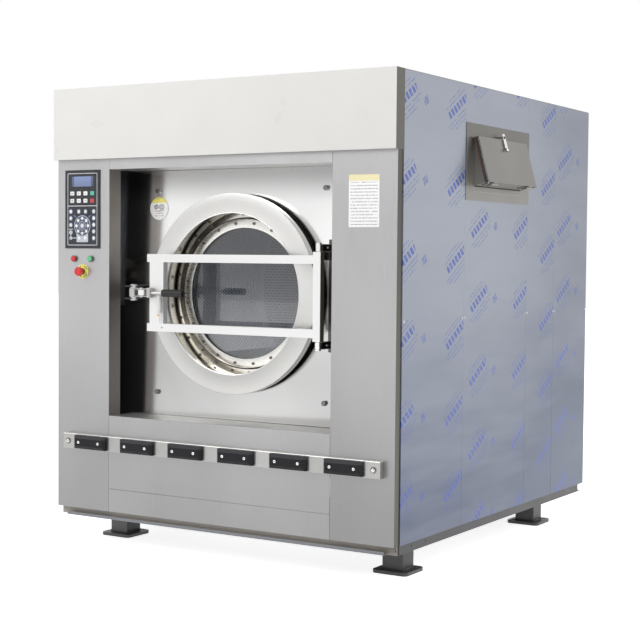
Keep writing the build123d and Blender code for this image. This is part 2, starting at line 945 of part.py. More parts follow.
def hopper_lid():
    y = (hopper_y[0] - lid_margin, hopper_y[1] + lid_margin)
    top = hopper_height + lid_margin
    bottom = -lid_axis_drop / 2
    made = tilted((lid_depth - lid_skirt, lid_depth), y, (bottom, top))
    made -= tilted((-overrun - lid_skirt, lid_depth - lid_sheet), (y[0] + lid_sheet, y[1] - lid_sheet),
                   (bottom - overrun, top - lid_sheet))
    back = gasket_thick + seat_gap
    frame = tilted((back, lid_depth), (hopper_y[0], hopper_y[1]), (0, hopper_height))
    frame -= tilted((-overrun, lid_depth - lid_sheet), (hopper_y[0] + lid_frame, hopper_y[1] - lid_frame),
                    (lid_frame, hopper_height - lid_frame))
    made += frame
    for end in (hopper_y[0] + lid_knuckle_inset, hopper_y[1] - lid_knuckle_inset):
        y = around(end, lid_knuckle_length)
        made += tilted_rod(lid_knuckle_radius, lid_axis_out, y, -lid_axis_drop)
        made += tilted((lid_axis_out + lid_pin_radius, lid_depth), y, (-lid_axis_drop, 0))
        made -= tilted_rod(lid_pin_radius + fit_gap, lid_axis_out, (y[0] - overrun, y[1] + overrun),
                           -lid_axis_drop)
    axis_out = lid_depth + latch_stand
    half = latch_width / 2
    for side in (-1, 1):
        y = between(hopper_middle + side * (half + knuckle_gap),
                    hopper_middle + side * (half + knuckle_gap + latch_ear))
        made += tilted((lid_depth - lid_sheet, axis_out + latch_barrel_radius), y,
                       around(latch_rise, latch_ear_side))
    return made + tilted_rod(latch_pin_radius, axis_out, around(hopper_middle, latch_width + 2 * latch_ear),
                             latch_rise)


def lid_latch():
    axis_out = lid_depth + latch_stand
    y = around(hopper_middle, latch_width)
    made = tilted_rod(latch_barrel_radius, axis_out, y, latch_rise)
    made += tilted(around(axis_out, latch_plate), y, (latch_rise, latch_rise + latch_reach))
    made -= tilted(around(axis_out, 2 * overrun), around(hopper_middle, latch_slot[1]),
                   around(latch_slot_rise, latch_slot[0]))
    return made - tilted_rod(latch_pin_radius + fit_gap, axis_out,
                             around(hopper_middle, latch_width + 2 * overrun), latch_rise)


def filler_hose():
    grip = hose_z[1] - hose_grip
    made = rod_z(hose_radius, hose_z, outlet_x, hopper_middle)
    for i in range(hose_ribs):
        rib = around(hose_z[0] + hose_rib_start + i * hose_rib_pitch, hose_rib_width)
        made += rod_z(hose_radius + hose_rib_depth, rib, outlet_x, hopper_middle)
    made -= rod_z(hose_bore, (hose_z[0] - overrun, grip), outlet_x, hopper_middle)
    return made - rod_z(outlet_radius + seat_gap, (grip - overrun, hose_z[1] + overrun), outlet_x,
                        hopper_middle)


# Tub and what is fixed to it
def tub_shell():
    front = tub_face + tub_plate_thick + seat_gap
    back = tub_back + tub_back_thick
    inner = tub_radius - tub_wall
    rim = tub_radius + tub_rim
    shell = turned([
        (inner, front), (rim, front), (rim, front + tub_rim_thick), (tub_radius, front + tub_rim_thick),
        (tub_radius, back), (shaft_hole_radius, back), (shaft_hole_radius, tub_back), (inner, tub_back),
    ])
    for y in hoop_ys:
        shell += tube_y(tub_radius + hoop_height, inner, around(y, hoop_width))
    room = rod_y(inner, (tub_face, tub_back))
    outlet = rod_z(tub_drain_radius, (drain_outlet_bottom, door_z), 0, drain_y) - room
    nozzle = rod_z(outlet_radius, (door_z, nozzle_top), outlet_x, hopper_middle) - room
    shell += outlet + nozzle
    shell -= rod_z(tub_drain_radius - drain_outlet_wall, (drain_outlet_bottom - overrun, door_z), 0, drain_y)
    return shell - rod_z(outlet_radius - outlet_wall, (door_z, nozzle_top + overrun), outlet_x, hopper_middle)


def tub_front_plate():
    sheet_face = Plane(origin=(0, tub_face + tub_plate_thick, door_z), x_dir=(1, 0, 0), z_dir=(0, -1, 0))
    outline = RectangleRounded(tub_plate_side, tub_plate_side, tub_plate_corner)
    made = extrude(sheet_face * outline, tub_plate_thick)
    made -= rod_y(mouth_radius, (tub_face - overrun, tub_face + overrun + tub_plate_thick))
    made += tube_y(mouth_radius + collar_thick, mouth_radius,
                   (tub_face, tub_face + tub_plate_thick + collar_length))
    head_face = Plane(origin=(0, tub_face, door_z), x_dir=(1, 0, 0), z_dir=(0, -1, 0))
    for x in (-plate_bolt_x, plate_bolt_x):
        for z in (-plate_bolt_z, plate_bolt_z):
            made += extrude(head_face * Pos(x, z, 0) * RegularPolygon(plate_bolt_radius, 6),
                            plate_bolt_height)
    return made


def lock_keeper():
    """Two hook plates that reach forward past the rollers and turn in front of them."""
    right = lever_t_x - roller_radius - keeper_clear
    upright = (right - keeper_wall, right)
    nose_back = lever_y - roller_radius - keeper_clear
    plate_back = tub_face - seat_gap
    hook_rise = t_block_height / 2 + seat_gap + roller_height / 2
    made = block(around(right - keeper_wall / 2, keeper_foot), (plate_back - keeper_foot_thick, plate_back),
                 around(door_z, keeper_foot_height))
    made += block(upright, (keeper_web_front, plate_back), around(door_z, 2 * hook_rise))
    for side in (-1, 1):
        level = around(door_z + side * hook_rise, keeper_thick)
        made += block(upright, (nose_back - keeper_nose, plate_back), level)
        made += block((upright[0], right + keeper_nose_width), (nose_back - keeper_nose, nose_back), level)
    return made


def hinge_arms():
    made = []
    plate_back = tub_face - seat_gap
    for side in (-1, 1):
        start = yoke_right_rise + arm_clear
        level = between(door_z + side * start, door_z + side * (start + arm_height))
        arm = block(around(hinge_x, arm_width), (hinge_y, plate_back), level)
        arm += rod_z(arm_width / 2, level, hinge_x, hinge_y)
        arm += block(around(hinge_x, hinge_foot), (plate_back - hinge_foot_thick, plate_back),
                     around((level[0] + level[1]) / 2, hinge_foot))
        made.append(arm - rod_z(pin_radius + fit_gap, (level[0] - overrun, level[1] + overrun), hinge_x,
                                hinge_y))
    top = door_z + yoke_right_rise + arm_clear - seat_gap
    made.append(block(around(switch_x, switch_width), (switch_front, switch_front + switch_depth),
                      (top - switch_height, top)))
    return made


def hinge_pins():
    made = []
    for side in (-1, 1):
        out = door_z + side * (yoke_right_rise + arm_clear + arm_height + seat_gap)
        inside = door_z + side * (yoke_right_rise - pin_reach)
        pin = rod_z(pin_radius, between(out, inside), hinge_x, hinge_y)
        made.append(pin + rod_z(knuckle_radius, between(out, out + side * pin_head), hinge_x, hinge_y))
    return made


def tub_cradle():
    """Two hollow beams, two saddles under the tub, two ties that carry the motor, four damper lugs."""
    inner = beam_x - beam_side / 2
    upright = (beam_bottom, beam_top)
    beam = block(around(beam_x, beam_side), (beam_front, beam_back), upright)
    beam -= block(around(beam_x, beam_side - 2 * beam_wall), (beam_front - overrun, beam_back + overrun),
                  (beam_bottom + beam_wall, beam_top - beam_wall))
    for y in foot_ys:
        beam += block((damper_x - damper_lug_width / 2, inner), around(y, damper_lug_width),
                      (beam_bottom, beam_bottom + damper_lug_thick))
        beam -= rod_z(damper_rod_radius + fit_gap, (0, beam_top), damper_x, y)
    cradle = beam + beam.mirror(Plane.YZ)
    for y in saddle_ys:
        saddle = block(around(0, 2 * saddle_half_width), around(y, saddle_thick), (beam_top, saddle_top))
        saddle += block((-inner, inner), around(y, saddle_thick), upright)
        cradle += saddle - rod_y(tub_radius + seat_gap, (0, tub_back))
    for y in tie_ys:
        cradle += block((-inner, inner), around(y, tie_width), upright)
        cradle -= block((beam_wall - inner, inner - beam_wall), around(y, tie_width - 2 * beam_wall),
                        (beam_bottom - overrun, beam_top - beam_wall))
    return cradle


def damper_places():
    return [(side * damper_x, y) for side in (-1, 1) for y in foot_ys]


def damper_cylinders():
    made = []
    for x, y in damper_places():
        body = rod_z(damper_radius, (above_rails, damper_top), x, y)
        made.append(body - rod_z(damper_rod_radius + fit_gap,
                                 (above_rails + damper_floor, damper_top + overrun), x, y))
    return made


def damper_rods():
    made = []
    nut = beam_bottom + damper_lug_thick + seat_gap
    for x, y in damper_places():
        rod = rod_z(damper_rod_radius, (above_rails + damper_floor + damper_rod_gap, nut + damper_nut), x, y)
        made.append(rod + rod_z(damper_nut_radius, (nut, nut + damper_nut), x, y))
    return made


def suspension_springs():
    """A turned rubber bellows under each end of the two beams."""
    low, high = above_rails, beam_bottom - seat_gap
    step = (high - low) / (2 * spring_lobes)
    points = [(0, low)]
    for i in range(2 * spring_lobes + 1):
        points.append((spring_radius - spring_waist * ((i + 1) % 2), low + i * step))
    points.append((0, high))
    face = Plane.XZ * make_face(Polyline(*points, close=True))
    bellows = revolve(face, Axis.Z)
    return [Pos(side * beam_x, y, 0) * bellows for side in (-1, 1) for y in foot_ys]


# Drum, shaft, bearings and drive
def drum_shell():
    inner = drum_radius - drum_wall
    return turned([
        (drum_mouth_radius, drum_front - drum_lip), (drum_mouth_radius + drum_wall, drum_front - drum_lip),
        (drum_mouth_radius + drum_wall, drum_front), (drum_radius, drum_front), (drum_radius, drum_back),
        (0, drum_back), (0, drum_back - drum_back_thick), (inner, drum_back - drum_back_thick),
        (inner, drum_front + drum_wall), (drum_mouth_radius, drum_front + drum_wall),
    ])


def ridge(inset):
    """The roof-shaped bar of one lifter, drawn in by an inset, lying along Y at the bottom of the drum."""
    end_gap = drum_wall + lifter_end_gap + inset
    y = (drum_front + end_gap, drum_back - drum_back_thick - lifter_end_gap - inset)
    foot = drum_wall + lifter_round - drum_radius
    crest = drum_wall + lifter_height - inset - drum_radius
    half_foot, half_crest = lifter_width / 2 - inset, lifter_crest / 2 - inset
    outline = Polyline((-half_foot, -drum_radius), (-half_foot, foot), (-half_crest, crest),
                       (half_crest, crest), (half_foot, foot), (half_foot, -drum_radius), close=True)
    return extrude(Plane(origin=(0, y[1], 0), x_dir=(1, 0, 0), z_dir=(0, -1, 0)) * make_face(outline),
                   y[1] - y[0])


def drum_lifters():
    """Three hollow ridges, open towards the wall of the drum."""
    outside = ridge(0)
    outside = fillet(outside.edges().filter_by(Axis.Y).group_by(Axis.Z)[-1], lifter_round)
    inner = drum_radius - drum_wall - seat_gap
    made = (outside - ridge(lifter_wall)) & rod_y(inner, (drum_front, drum_back), 0, 0)
    turns = [lifter_start + i * 360 / lifter_count for i in range(lifter_count)]
    return [Pos(0, 0, door_z) * Rot(Y=turn) * made for turn in turns]


def main_shaft():
    start = drum_back + seat_gap
    flange = start + shaft_flange_thick
    return turned([
        (0, start), (drum_boss_radius, start), (drum_boss_radius, flange), (shaft_front_radius, flange),
        (shaft_front_radius, shaft_step), (shaft_rear_radius, shaft_step),
        (shaft_rear_radius, shaft_end - shaft_chamfer), (shaft_rear_radius - shaft_chamfer, shaft_end),
        (0, shaft_end),
    ])


def bearing_housing():
    start = tub_back + tub_back_thick + seat_gap
    flange = start + housing_flange_thick
    hub = flange + housing_hub_length
    pocket = start + bearing_width + seat_gap
    rear_pocket = housing_end - bearing_width - seat_gap
    front_bore = front_bearing_radius + fit_gap
    rear_bore = rear_bearing_radius + fit_gap
    made = turned([
        (front_bore, start), (housing_flange_radius, start), (housing_flange_radius, flange),
        (housing_hub_radius, flange), (housing_hub_radius, hub), (housing_neck_radius, hub + housing_taper),
        (housing_neck_radius, housing_end), (rear_bore, housing_end), (rear_bore, rear_pocket),
        (housing_cavity_radius, rear_pocket), (housing_cavity_radius, pocket), (front_bore, pocket),
    ])
    rib_outline = Polyline((housing_neck_radius - housing_rib_root, flange),
                           (housing_flange_radius - housing_rib_inset, flange),
                           (housing_neck_radius, housing_end - housing_rib_inset),
                           (housing_neck_radius - housing_rib_root, housing_end - housing_rib_inset),
                           close=True)
    rib = extrude(make_face(rib_outline), housing_rib_thick / 2, both=True)
    for i in range(housing_rib_count):
        made += Pos(0, 0, door_z) * Rot(Y=i * 360 / housing_rib_count) * rib
    return made


def bearing(start, outer, bore):
    """A plain roller bearing with a groove between its races on each face."""
    middle = (outer + bore) / 2
    half = (outer - bore) / race_share
    end = start + bearing_width
    return turned([
        (bore, start), (middle - half, start), (middle - half, start + race_groove),
        (middle + half, start + race_groove),
        (middle + half, start), (outer, start), (outer, end), (middle + half, end),
        (middle + half, end - race_groove),
        (middle - half, end - race_groove), (middle - half, end), (bore, end),
    ])


def shaft_bearings():
    start = tub_back + tub_back_thick + seat_gap
    return [bearing(start, front_bearing_radius, shaft_front_radius + fit_gap),
            bearing(housing_end - bearing_width, rear_bearing_radius, shaft_rear_radius + fit_gap)]


def belt_places():
    middle = pulley_front + pulley_width / 2
    return [middle + (i - (belt_count - 1) / 2) * belt_pitch for i in range(belt_count)]


def grooved(made, radius, x, z):
    """Cut the belt grooves round a pulley."""
    for y in belt_places():
        made -= tube_y(radius + overrun, radius - groove_depth, around(y, belt_width + 2 * groove_gap), x, z)
    return made


def drum_pulley():
    y = (pulley_front, pulley_front + pulley_width)
    inner = pulley_radius - pulley_rim
    made = tube_y(pulley_radius, inner, y)
    web = around((y[0] + y[1]) / 2, pulley_web)
    web_plate = tube_y(inner + pulley_web, pulley_hub_radius, web)
    for i in range(pulley_hole_count):
        angle = math.radians(i * 360 / pulley_hole_count)
        web_plate -= rod_y(pulley_hole_radius, (web[0] - overrun, web[1] + overrun),
                           pulley_hole_circle * math.cos(angle),
                           door_z + pulley_hole_circle * math.sin(angle))
    made += web_plate
    made += tube_y(pulley_hub_radius, shaft_rear_radius + fit_gap, y)
    return grooved(made, pulley_radius, 0, door_z)


def motor_pulley():
    y = (pulley_front, pulley_front + pulley_width)
    made = grooved(rod_y(motor_pulley_radius, y, motor_x, motor_z), motor_pulley_radius, motor_x, motor_z)
    return made + rod_y(motor_shaft_radius, (motor_back - motor_shaft_reach, y[1] + overrun), motor_x,
                        motor_z)


def drive_motor():
    y = (motor_front, motor_back)
    made = rod_y(motor_radius, y, motor_x, motor_z)
    fins = (motor_front + motor_bell, motor_back - motor_bell)
    for i in range(motor_fin_count):
        fin = block(around(0, fin_thick), fins, (0, motor_radius + fin_height))
        made += Pos(motor_x, 0, motor_z) * Rot(Y=i * 360 / motor_fin_count) * fin
    made += block(around(motor_x, motor_box[0]), around((y[0] + y[1]) / 2, motor_box[1]),
                  (motor_z, motor_z + motor_radius + motor_box[2]))
    foot_y = around((tie_ys[0] + tie_ys[1]) / 2, motor_foot_depth)
    foot = beam_top + seat_gap
    made += block(around(motor_x, motor_foot_width), foot_y, (foot, foot + motor_foot_thick))
    made += block(around(motor_x, motor_web_width), foot_y, (foot, motor_z))
    return made - rod_y(motor_shaft_radius + fit_gap, (motor_back - motor_shaft_reach - seat_gap,
                                                       motor_back + overrun),
                        motor_x, motor_z)


def belt_outline(big, small):
    """The area inside a belt round two wheels: two circles and the quadrilateral between their tangents."""
    apart = math.hypot(motor_x, motor_z - door_z)
    toward = math.atan2(motor_z - door_z, motor_x)
    lean = math.acos((big - small) / apart)
    corners = []
    for angle, order in ((toward + lean, 1), (toward - lean, -1)):
        pair = [(big * math.cos(angle), big * math.sin(angle)),
                (motor_x + small * math.cos(angle), motor_z - door_z + small * math.sin(angle))]
        corners += pair[::order]
    run = make_face(Polyline(*corners, close=True))
    return Circle(big) + Pos(motor_x, motor_z - door_z) * Circle(small) + run


def drive_belts():
    bottom = belt_clear - groove_depth
    outer = belt_outline(pulley_radius + bottom + belt_thick, motor_pulley_radius + bottom + belt_thick)
    inner = belt_outline(pulley_radius + bottom, motor_pulley_radius + bottom)
    made = []
    for y in belt_places():
        face = Plane(origin=(0, y + belt_width / 2, door_z), x_dir=(1, 0, 0), z_dir=(0, -1, 0))
        made.append(extrude(face * (outer - inner), belt_width))
    return made


def drain_valve():
    """The valve body under the tub, its spigot and its actuator."""
    top = drain_outlet_bottom - seat_gap
    low = top - drain_valve_height
    made = rod_z(drain_valve_radius, (low, top), 0, drain_y)
    made += rod_z(drain_spigot_radius, (drain_spigot_end, low), 0, drain_y)
    made += block((0, drain_valve_radius + drain_actuator[0]), around(drain_y, drain_actuator[1]),
                  around((low + top) / 2, drain_actuator[2]))
    made -= rod_z(drain_spigot_radius - drain_spigot_wall, (drain_spigot_end - overrun, low + overrun), 0,
                  drain_y)
    return made - rod_z(tub_drain_radius - drain_outlet_wall, (low + overrun, top + overrun), 0, drain_y)


def drain_pipe():
    end = cabinet_depth + drain_outside
    inner = drain_pipe_radius - drain_pipe_wall
    cup = (drain_axis_z, drain_cup_top)
    flange = (cabinet_depth + seat_gap, cabinet_depth + seat_gap + supply_flange_thick)
    made = rod_y(drain_pipe_radius, (drain_front, end), 0, drain_axis_z)
    made += rod_z(drain_pipe_radius, cup, 0, drain_y)
    made += block(around(0, drain_saddle[0]), around(foot_ys[1], drain_saddle[1]),
                  (above_rails, drain_axis_z - drain_pipe_radius / 2))
    made += rod_y(drain_pipe_radius + supply_flange, flange, 0, drain_axis_z)
    made -= rod_y(inner, (drain_front + drain_pipe_wall, end + overrun), 0, drain_axis_z)
    return made - rod_z(inner, (cup[0], cup[1] + overrun), 0, drain_y)


# Door
def door_ring():
    """The lipped annulus, the dish behind it and the seat of the glass, as one turned piece."""
    face, skin = ring_face, ring_face + ring_thick
    lip_inner = ring_radius - ring_lip_thick
    wall_outer = dish_radius + dish_wall
    dish_end = dish_back + flange_thick
    pocket_inner = flange_radius - dish_wall
    return turned([
        (ring_hole_radius, face), (ring_radius, face), (ring_radius, face + ring_lip),
        (lip_inner, face + ring_lip),
        (lip_inner, skin), (wall_outer, skin), (wall_outer, dish_end), (flange_radius, dish_end),
        (flange_radius, door_back), (pocket_radius, door_back), (pocket_radius, pocket_face),
        (pocket_inner, pocket_face),
        (pocket_inner, dish_back), (dish_radius, dish_back), (dish_radius, skin), (ring_hole_radius, skin),
    ])


def door_gasket():
    start = ring_face + ring_thick + seat_gap
    foot = start + gasket_base
    end = tub_face - seat_gap
    low, high = gasket_inner + gasket_inset, gasket_outer - gasket_inset
    return turned([
        (gasket_inner, start), (gasket_outer, start), (gasket_outer, foot), (high, foot),
        (high, end - gasket_nose),
        (high - gasket_nose, end), (low + gasket_nose, end), (low, end - gasket_nose), (low, foot),
        (gasket_inner, foot),
    ])


def bolt_holes(made, radius, y):
    """Cut the ring of bolt holes of the glass clamp."""
    for x, z in clamp_bolt_places():
        made -= rod_y(radius, y, x, z)
    return made


def clamp_bolt_places():
    turn = 360 / clamp_bolt_count
    angles = [math.radians((i + clamp_bolt_shift) * turn) for i in range(clamp_bolt_count)]
    return [(clamp_bolt_circle * math.cos(a), door_z + clamp_bolt_circle * math.sin(a)) for a in angles]


def glass_seal():
    outer = flange_radius - dish_wall - seat_gap
    back = pocket_face - seat_gap
    channel = glass_edge + seat_gap
    made = turned([
        (seal_inner, seal_front), (outer, seal_front), (outer, back), (seal_inner, back),
        (seal_inner, back - seal_side),
        (channel, back - seal_side), (channel, seal_front + seal_side), (seal_inner, seal_front + seal_side),
    ])
    return bolt_holes(made, clamp_shank_radius + fit_gap, (seal_front - overrun, back + overrun))


def door_glass():
    return rod_y(glass_edge, (glass_front, glass_back))


def clamp_ring():
    made = tube_y(clamp_radius, pocket_radius, (clamp_face, clamp_face + clamp_thick))
    return bolt_holes(made, clamp_shank_radius + fit_gap,
                      (clamp_face - overrun, clamp_face + clamp_thick + overrun))


def clamp_bolts():
    made = []
    for x, z in clamp_bolt_places():
        head = rod_y(clamp_bolt_radius, (clamp_face - seat_gap - clamp_bolt_height, clamp_face - seat_gap),
                     x, z)
        made.append(head + rod_y(clamp_shank_radius, (clamp_face - seat_gap, pocket_face - seat_gap), x, z))
    return made


# Yoke, lock lever and sensor
def yoke():
    y = (yoke_face, yoke_back)
    reach = pin_reach + seat_gap
    made = block(around(hinge_x, yoke_right_width), y, around(door_z, 2 * yoke_right_rise))
    made += block((yoke_plate_left, yoke_plate_left + yoke_plate_width), y, around(door_z, 2 * yoke_rise))
    for side in (-1, 1):
        made += block((yoke_left, hinge_x), y, around(door_z + side * yoke_rise, yoke_tube))
        for x in (-standoff_x, standoff_x):
            made += rod_y(standoff_radius, (yoke_back, ring_face - seat_gap), x, door_z + side * yoke_rise)
        end = door_z + side * (yoke_right_rise + overrun)
        made -= rod_z(pin_radius + fit_gap, between(end, door_z + side * (yoke_right_rise - reach)), hinge_x,
                      hinge_y)
    made -= rod_y(wire_hole_radius, (yoke_face - overrun, yoke_face + overrun), wire_hole_x,
                  door_z - yoke_rise)
    level = around(door_z, 2 * lug_half)
    made += rod_z(lug_radius, level, lever_pivot_x, lever_y)
    made += block((lever_pivot_x, lever_pivot_x + lug_reach), around(lever_y, 2 * lug_radius), level)
    made += block((lever_pivot_x + lug_clear, lever_pivot_x + lug_reach), (lever_y, yoke_back), level)
    made += block((lever_pivot_x + lug_clear, yoke_plate_left + yoke_plate_width / 2), y, level)
    return made + rod_z(lever_pin_radius, around(door_z, 2 * (strap_inner + strap_thick + pin_overhang)),
                        lever_pivot_x, lever_y)


def lock_sensor():
    low = sensor_top - sensor_length
    made = rod_z(sensor_radius, (low, sensor_top), sensor_x, yoke_face - seat_gap - sensor_radius)
    wire_end = door_z - yoke_rise + yoke_tube / 2 + seat_gap
    return made + rod_z(sensor_wire_radius, (wire_end, low + overrun), sensor_x,
                        yoke_face - sensor_radius + sensor_wire_radius)


def lock_lever():
    made = block(around(lever_t_x, t_block_width), around(lever_y, t_block_depth),
                 around(door_z, t_block_height))
    made += rod_z(roller_pin_radius, around(door_z, cross_pin), lever_t_x, lever_y)
    for side in (-1, 1):
        level = between(door_z + side * strap_inner, door_z + side * (strap_inner + strap_thick))
        made += block((lever_t_x, fork_x), around(lever_y, strap_depth), level)
    made -= rod_z(lever_pin_radius + fit_gap, around(door_z, fork_height), lever_pivot_x, lever_y)
    made += block(around(fork_x, fork_width), around(lever_y, strap_depth), around(door_z, fork_height))
    return made + rod_x(lever_rod_radius, (fork_x, grip_end - grip_cap), lever_y, door_z)


def lock_rollers():
    made = []
    for side in (-1, 1):
        near = door_z + side * (t_block_height / 2 + seat_gap)
        level = between(near, near + side * roller_height)
        roller = rod_z(roller_radius, level, lever_t_x, lever_y)
        made.append(roller - rod_z(roller_pin_radius + fit_gap, (level[0] - overrun, level[1] + overrun),
                                   lever_t_x, lever_y))
    return made


def lever_grip():
    pitch = (grip_end - grip_start) / (grip_rib_count + 1)
    made = rod_x(grip_radius, (grip_start, grip_end), lever_y, door_z)
    for i in range(grip_rib_count):
        x = around(grip_start + (i + 1) * pitch, pitch / 3)
        core = rod_x(grip_radius - grip_rib_depth, x, lever_y, door_z)
        made -= rod_x(grip_radius + overrun, x, lever_y, door_z) - core
    return made - rod_x(lever_rod_radius + fit_gap, (grip_start - overrun, grip_end - grip_cap + seat_gap),
                        lever_y, door_z)


# Electric box and supplies
def electric_box():
    x = (-post_outer, -post_outer + box_width)
    y = (front_posts[1] + seat_gap, front_posts[1] + seat_gap + box_depth)
    z = (post_rail_z + post_side / 2 + seat_gap, box_top)
    made = block(x, y, z)
    made += block((x[1], x[1] + box_door_proud), (y[0] + box_door_margin, y[1] - box_door_margin),
                  (z[0] + box_door_margin, z[1] - box_door_margin))
    made -= block((x[0] + sheet, x[1] - sheet), (y[0] + sheet, y[1] - sheet), (z[0] + sheet, z[1] - sheet))
    return made - rod_z(box_gland, (z[1] - overrun, z[1] + overrun), (x[0] + x[1]) / 2, (y[0] + y[1]) / 2)


def supply_inlets():
    made = []
    inside = cabinet_depth - sheet - seat_gap
    for x, radius in zip(supply_xs, supply_radii):
        bore = radius - supply_wall
        flange = (cabinet_depth + seat_gap, cabinet_depth + seat_gap + supply_flange_thick)
        pipe = tube_y(radius, bore, (cabinet_depth - supply_inside, cabinet_depth + supply_outside), x, supply_z)
        pipe += tube_y(radius + supply_flange, bore, flange, x, supply_z)
        pipe += tube_y(radius + supply_flange / 2, bore, (inside - supply_flange_thick, inside), x, supply_z)
        made.append(pipe)
    return made


os.makedirs("parts", exist_ok=True)

right_sheets = side_sheets()
hopper_sheet_index = 1

save("feet", *feet())
save("base_rails", base_rails())
save("inner_frame", inner_frame())
save("pillar_left", pillar_left())
save("pillar_right", pillar())
save("header_panel", header_panel())
save("front_panels", *front_panels())
save("top_panel", top_panel())
save("rear_panel", rear_panel())
save("hopper_panel", *hopper_panel(right_sheets[hopper_sheet_index]))
save("right_panels", *[panel for panel in right_sheets if panel is not right_sheets[hopper_sheet_index]])
save("left_panels", *[panel.mirror(Plane.YZ) for panel in right_sheets])
save("bumper_rail", bumper_rail())
save("bumper_pads", *bumper_pads())
save("control_bezel", control_bezel())
save("button_housings", *button_housings())
save("estop_plate", estop_plate())
save("stop_button", push_button(bezel_x - button_offset))
save("start_button", push_button(bezel_x + button_offset))
save("estop_stem", estop_stem())
save("estop_mushroom", estop_mushroom())
save("hopper_frame", hopper_frame())
save("hopper_box", hopper_box())
save("lid_gasket", lid_gasket())
save("hopper_lid", hopper_lid())
save("lid_latch", lid_latch())
save("filler_hose", filler_hose())
save("electric_box", electric_box())
save("supply_inlets", *supply_inlets())
save("drain_pipe", drain_pipe())
save("damper_cylinders", *damper_cylinders())
save("suspension_springs", *suspension_springs())
save("tub_shell", tub_shell())
save("tub_front_plate", tub_front_plate())
save("lock_keeper", lock_keeper())
save("hinge_arms", *hinge_arms())
save("hinge_pins", *hinge_pins())
save("tub_cradle", tub_cradle())
save("damper_rods", *damper_rods())
save("bearing_housing", bearing_housing())
save("shaft_bearings", *shaft_bearings())
save("drive_motor", drive_motor())
save("drive_belts", *drive_belts())
save("drain_valve", drain_valve())
save("drum_shell", drum_shell())
save("drum_lifters", *drum_lifters())
save("main_shaft", main_shaft())
save("drum_pulley", drum_pulley())
save("motor_pulley", motor_pulley())
save("door_ring", door_ring())
save("door_gasket", door_gasket())
save("glass_seal", glass_seal())
save("door_glass", door_glass())
save("clamp_ring", clamp_ring())
save("clamp_bolts", *clamp_bolts())
save("yoke", yoke())
save("lock_sensor", lock_sensor())
save("lock_lever", lock_lever())
save("lock_rollers", *lock_rollers())
save("lever_grip", lever_grip())
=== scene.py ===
import json
import math

import bmesh
import bpy
import numpy as np
from mathutils import Matrix, Vector


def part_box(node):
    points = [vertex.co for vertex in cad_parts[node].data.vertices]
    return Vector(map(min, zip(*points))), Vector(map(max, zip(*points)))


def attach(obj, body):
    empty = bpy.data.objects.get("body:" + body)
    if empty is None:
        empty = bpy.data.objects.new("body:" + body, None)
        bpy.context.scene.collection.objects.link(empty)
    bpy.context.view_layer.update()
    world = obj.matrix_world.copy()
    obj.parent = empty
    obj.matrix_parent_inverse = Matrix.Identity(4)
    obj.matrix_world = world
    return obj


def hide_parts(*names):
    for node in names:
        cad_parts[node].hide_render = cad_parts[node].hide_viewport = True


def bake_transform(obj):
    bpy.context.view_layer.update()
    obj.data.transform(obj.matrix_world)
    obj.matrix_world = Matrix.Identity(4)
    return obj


bl_info = {
    "name": "Suspended Washer Extractor",
    "version": (1, 0, 0),
    "blender": (4, 5, 0),
    "location": "3D View > Sidebar > Washer",
    "description": "Dresses a packed washer-extractor with its finishes, screws, controls and door",
    "category": "Add Mesh",
}

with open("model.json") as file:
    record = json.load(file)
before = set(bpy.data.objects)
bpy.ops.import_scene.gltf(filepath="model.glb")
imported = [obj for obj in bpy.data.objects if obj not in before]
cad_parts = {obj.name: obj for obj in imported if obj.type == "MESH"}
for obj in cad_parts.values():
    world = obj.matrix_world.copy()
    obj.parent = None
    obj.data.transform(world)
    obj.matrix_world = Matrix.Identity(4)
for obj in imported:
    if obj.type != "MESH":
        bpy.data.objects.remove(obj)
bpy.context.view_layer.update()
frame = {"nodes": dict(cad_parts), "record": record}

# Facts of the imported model, in metres unless they say millimetres
MM = 0.001
FRONT = -0.9845  # face of the pillars
DOOR_Z = 1.147  # height of the door's axis
SEAMS = (594, 1254, 1580)  # joints of the side sheets, in millimetres behind the face of the pillars
BEZEL_LOW, BEZEL_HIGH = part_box("control_bezel")
BUMPER_LOW, BUMPER_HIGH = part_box("bumper_rail")
BUMPER_Z = (BUMPER_LOW.z + BUMPER_HIGH.z) / 2
PLATE_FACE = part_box("tub_front_plate")[0].y + 0.012
SIDE_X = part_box("right_panels")[1].x
HEADER_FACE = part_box("header_panel")[0].y
SLOTS = {part["node"]: part["material_slot"] for part in frame["record"]["subparts"]}
BODIES = {node: body for body, nodes in frame["record"]["behaviour"]["bodies"].items() for node in nodes}

# Studio
CAMERA_PLACE = (3.5797, -5.9505, 1.3134)
CAMERA_TURN = (0.5516, 0.0443, 0.0087)  # yaw, pitch and roll, in radians
CAMERA_LENS, CAMERA_SENSOR, CAMERA_REACH = 81.25, 36.0, 60.0
AMBIENT = 0.62  # strength of the surroundings where no ray sees them directly
FLOOR_GLOW = 0.84  # light that the floor adds where the camera or a mirror sees it
FLOOR_REACH = 30
LAMPS = (  # name, place, target, size, watts, spread in degrees
    ("key", (-2.6, -5.2, 4.6), (0, -0.9, 1.2), 3.2, 130, 180),
    ("fill", (5.2, -2.4, 3.6), (0.8, 0, 1.2), 3.4, 70, 180),
    ("rear", (-1.5, 5.5, 4.0), (0, 0.6, 1.0), 3.0, 34, 180),
    ("drum", (0.42, FRONT + 0.58, DOOR_Z + 0.10), (-0.52, 0.03, DOOR_Z - 0.40), 0.25, 2.3, 50),
)

# Print on the film: its slant, half the width and height of the cell that repeats, the shift of each sheet,
# and the thin rows of dashes, each by its height and half its length
PRINT_SLANT = math.radians(31)
PRINT_CELL = (0.225, 0.16)
PRINT_SHIFTS = (0.17, 0.11, 0.19)
PRINT_ROWS = ((-0.008, 0.115), (-0.026, 0.10), (-0.044, 0.06), (0.064, 0.10), (0.082, 0.07))

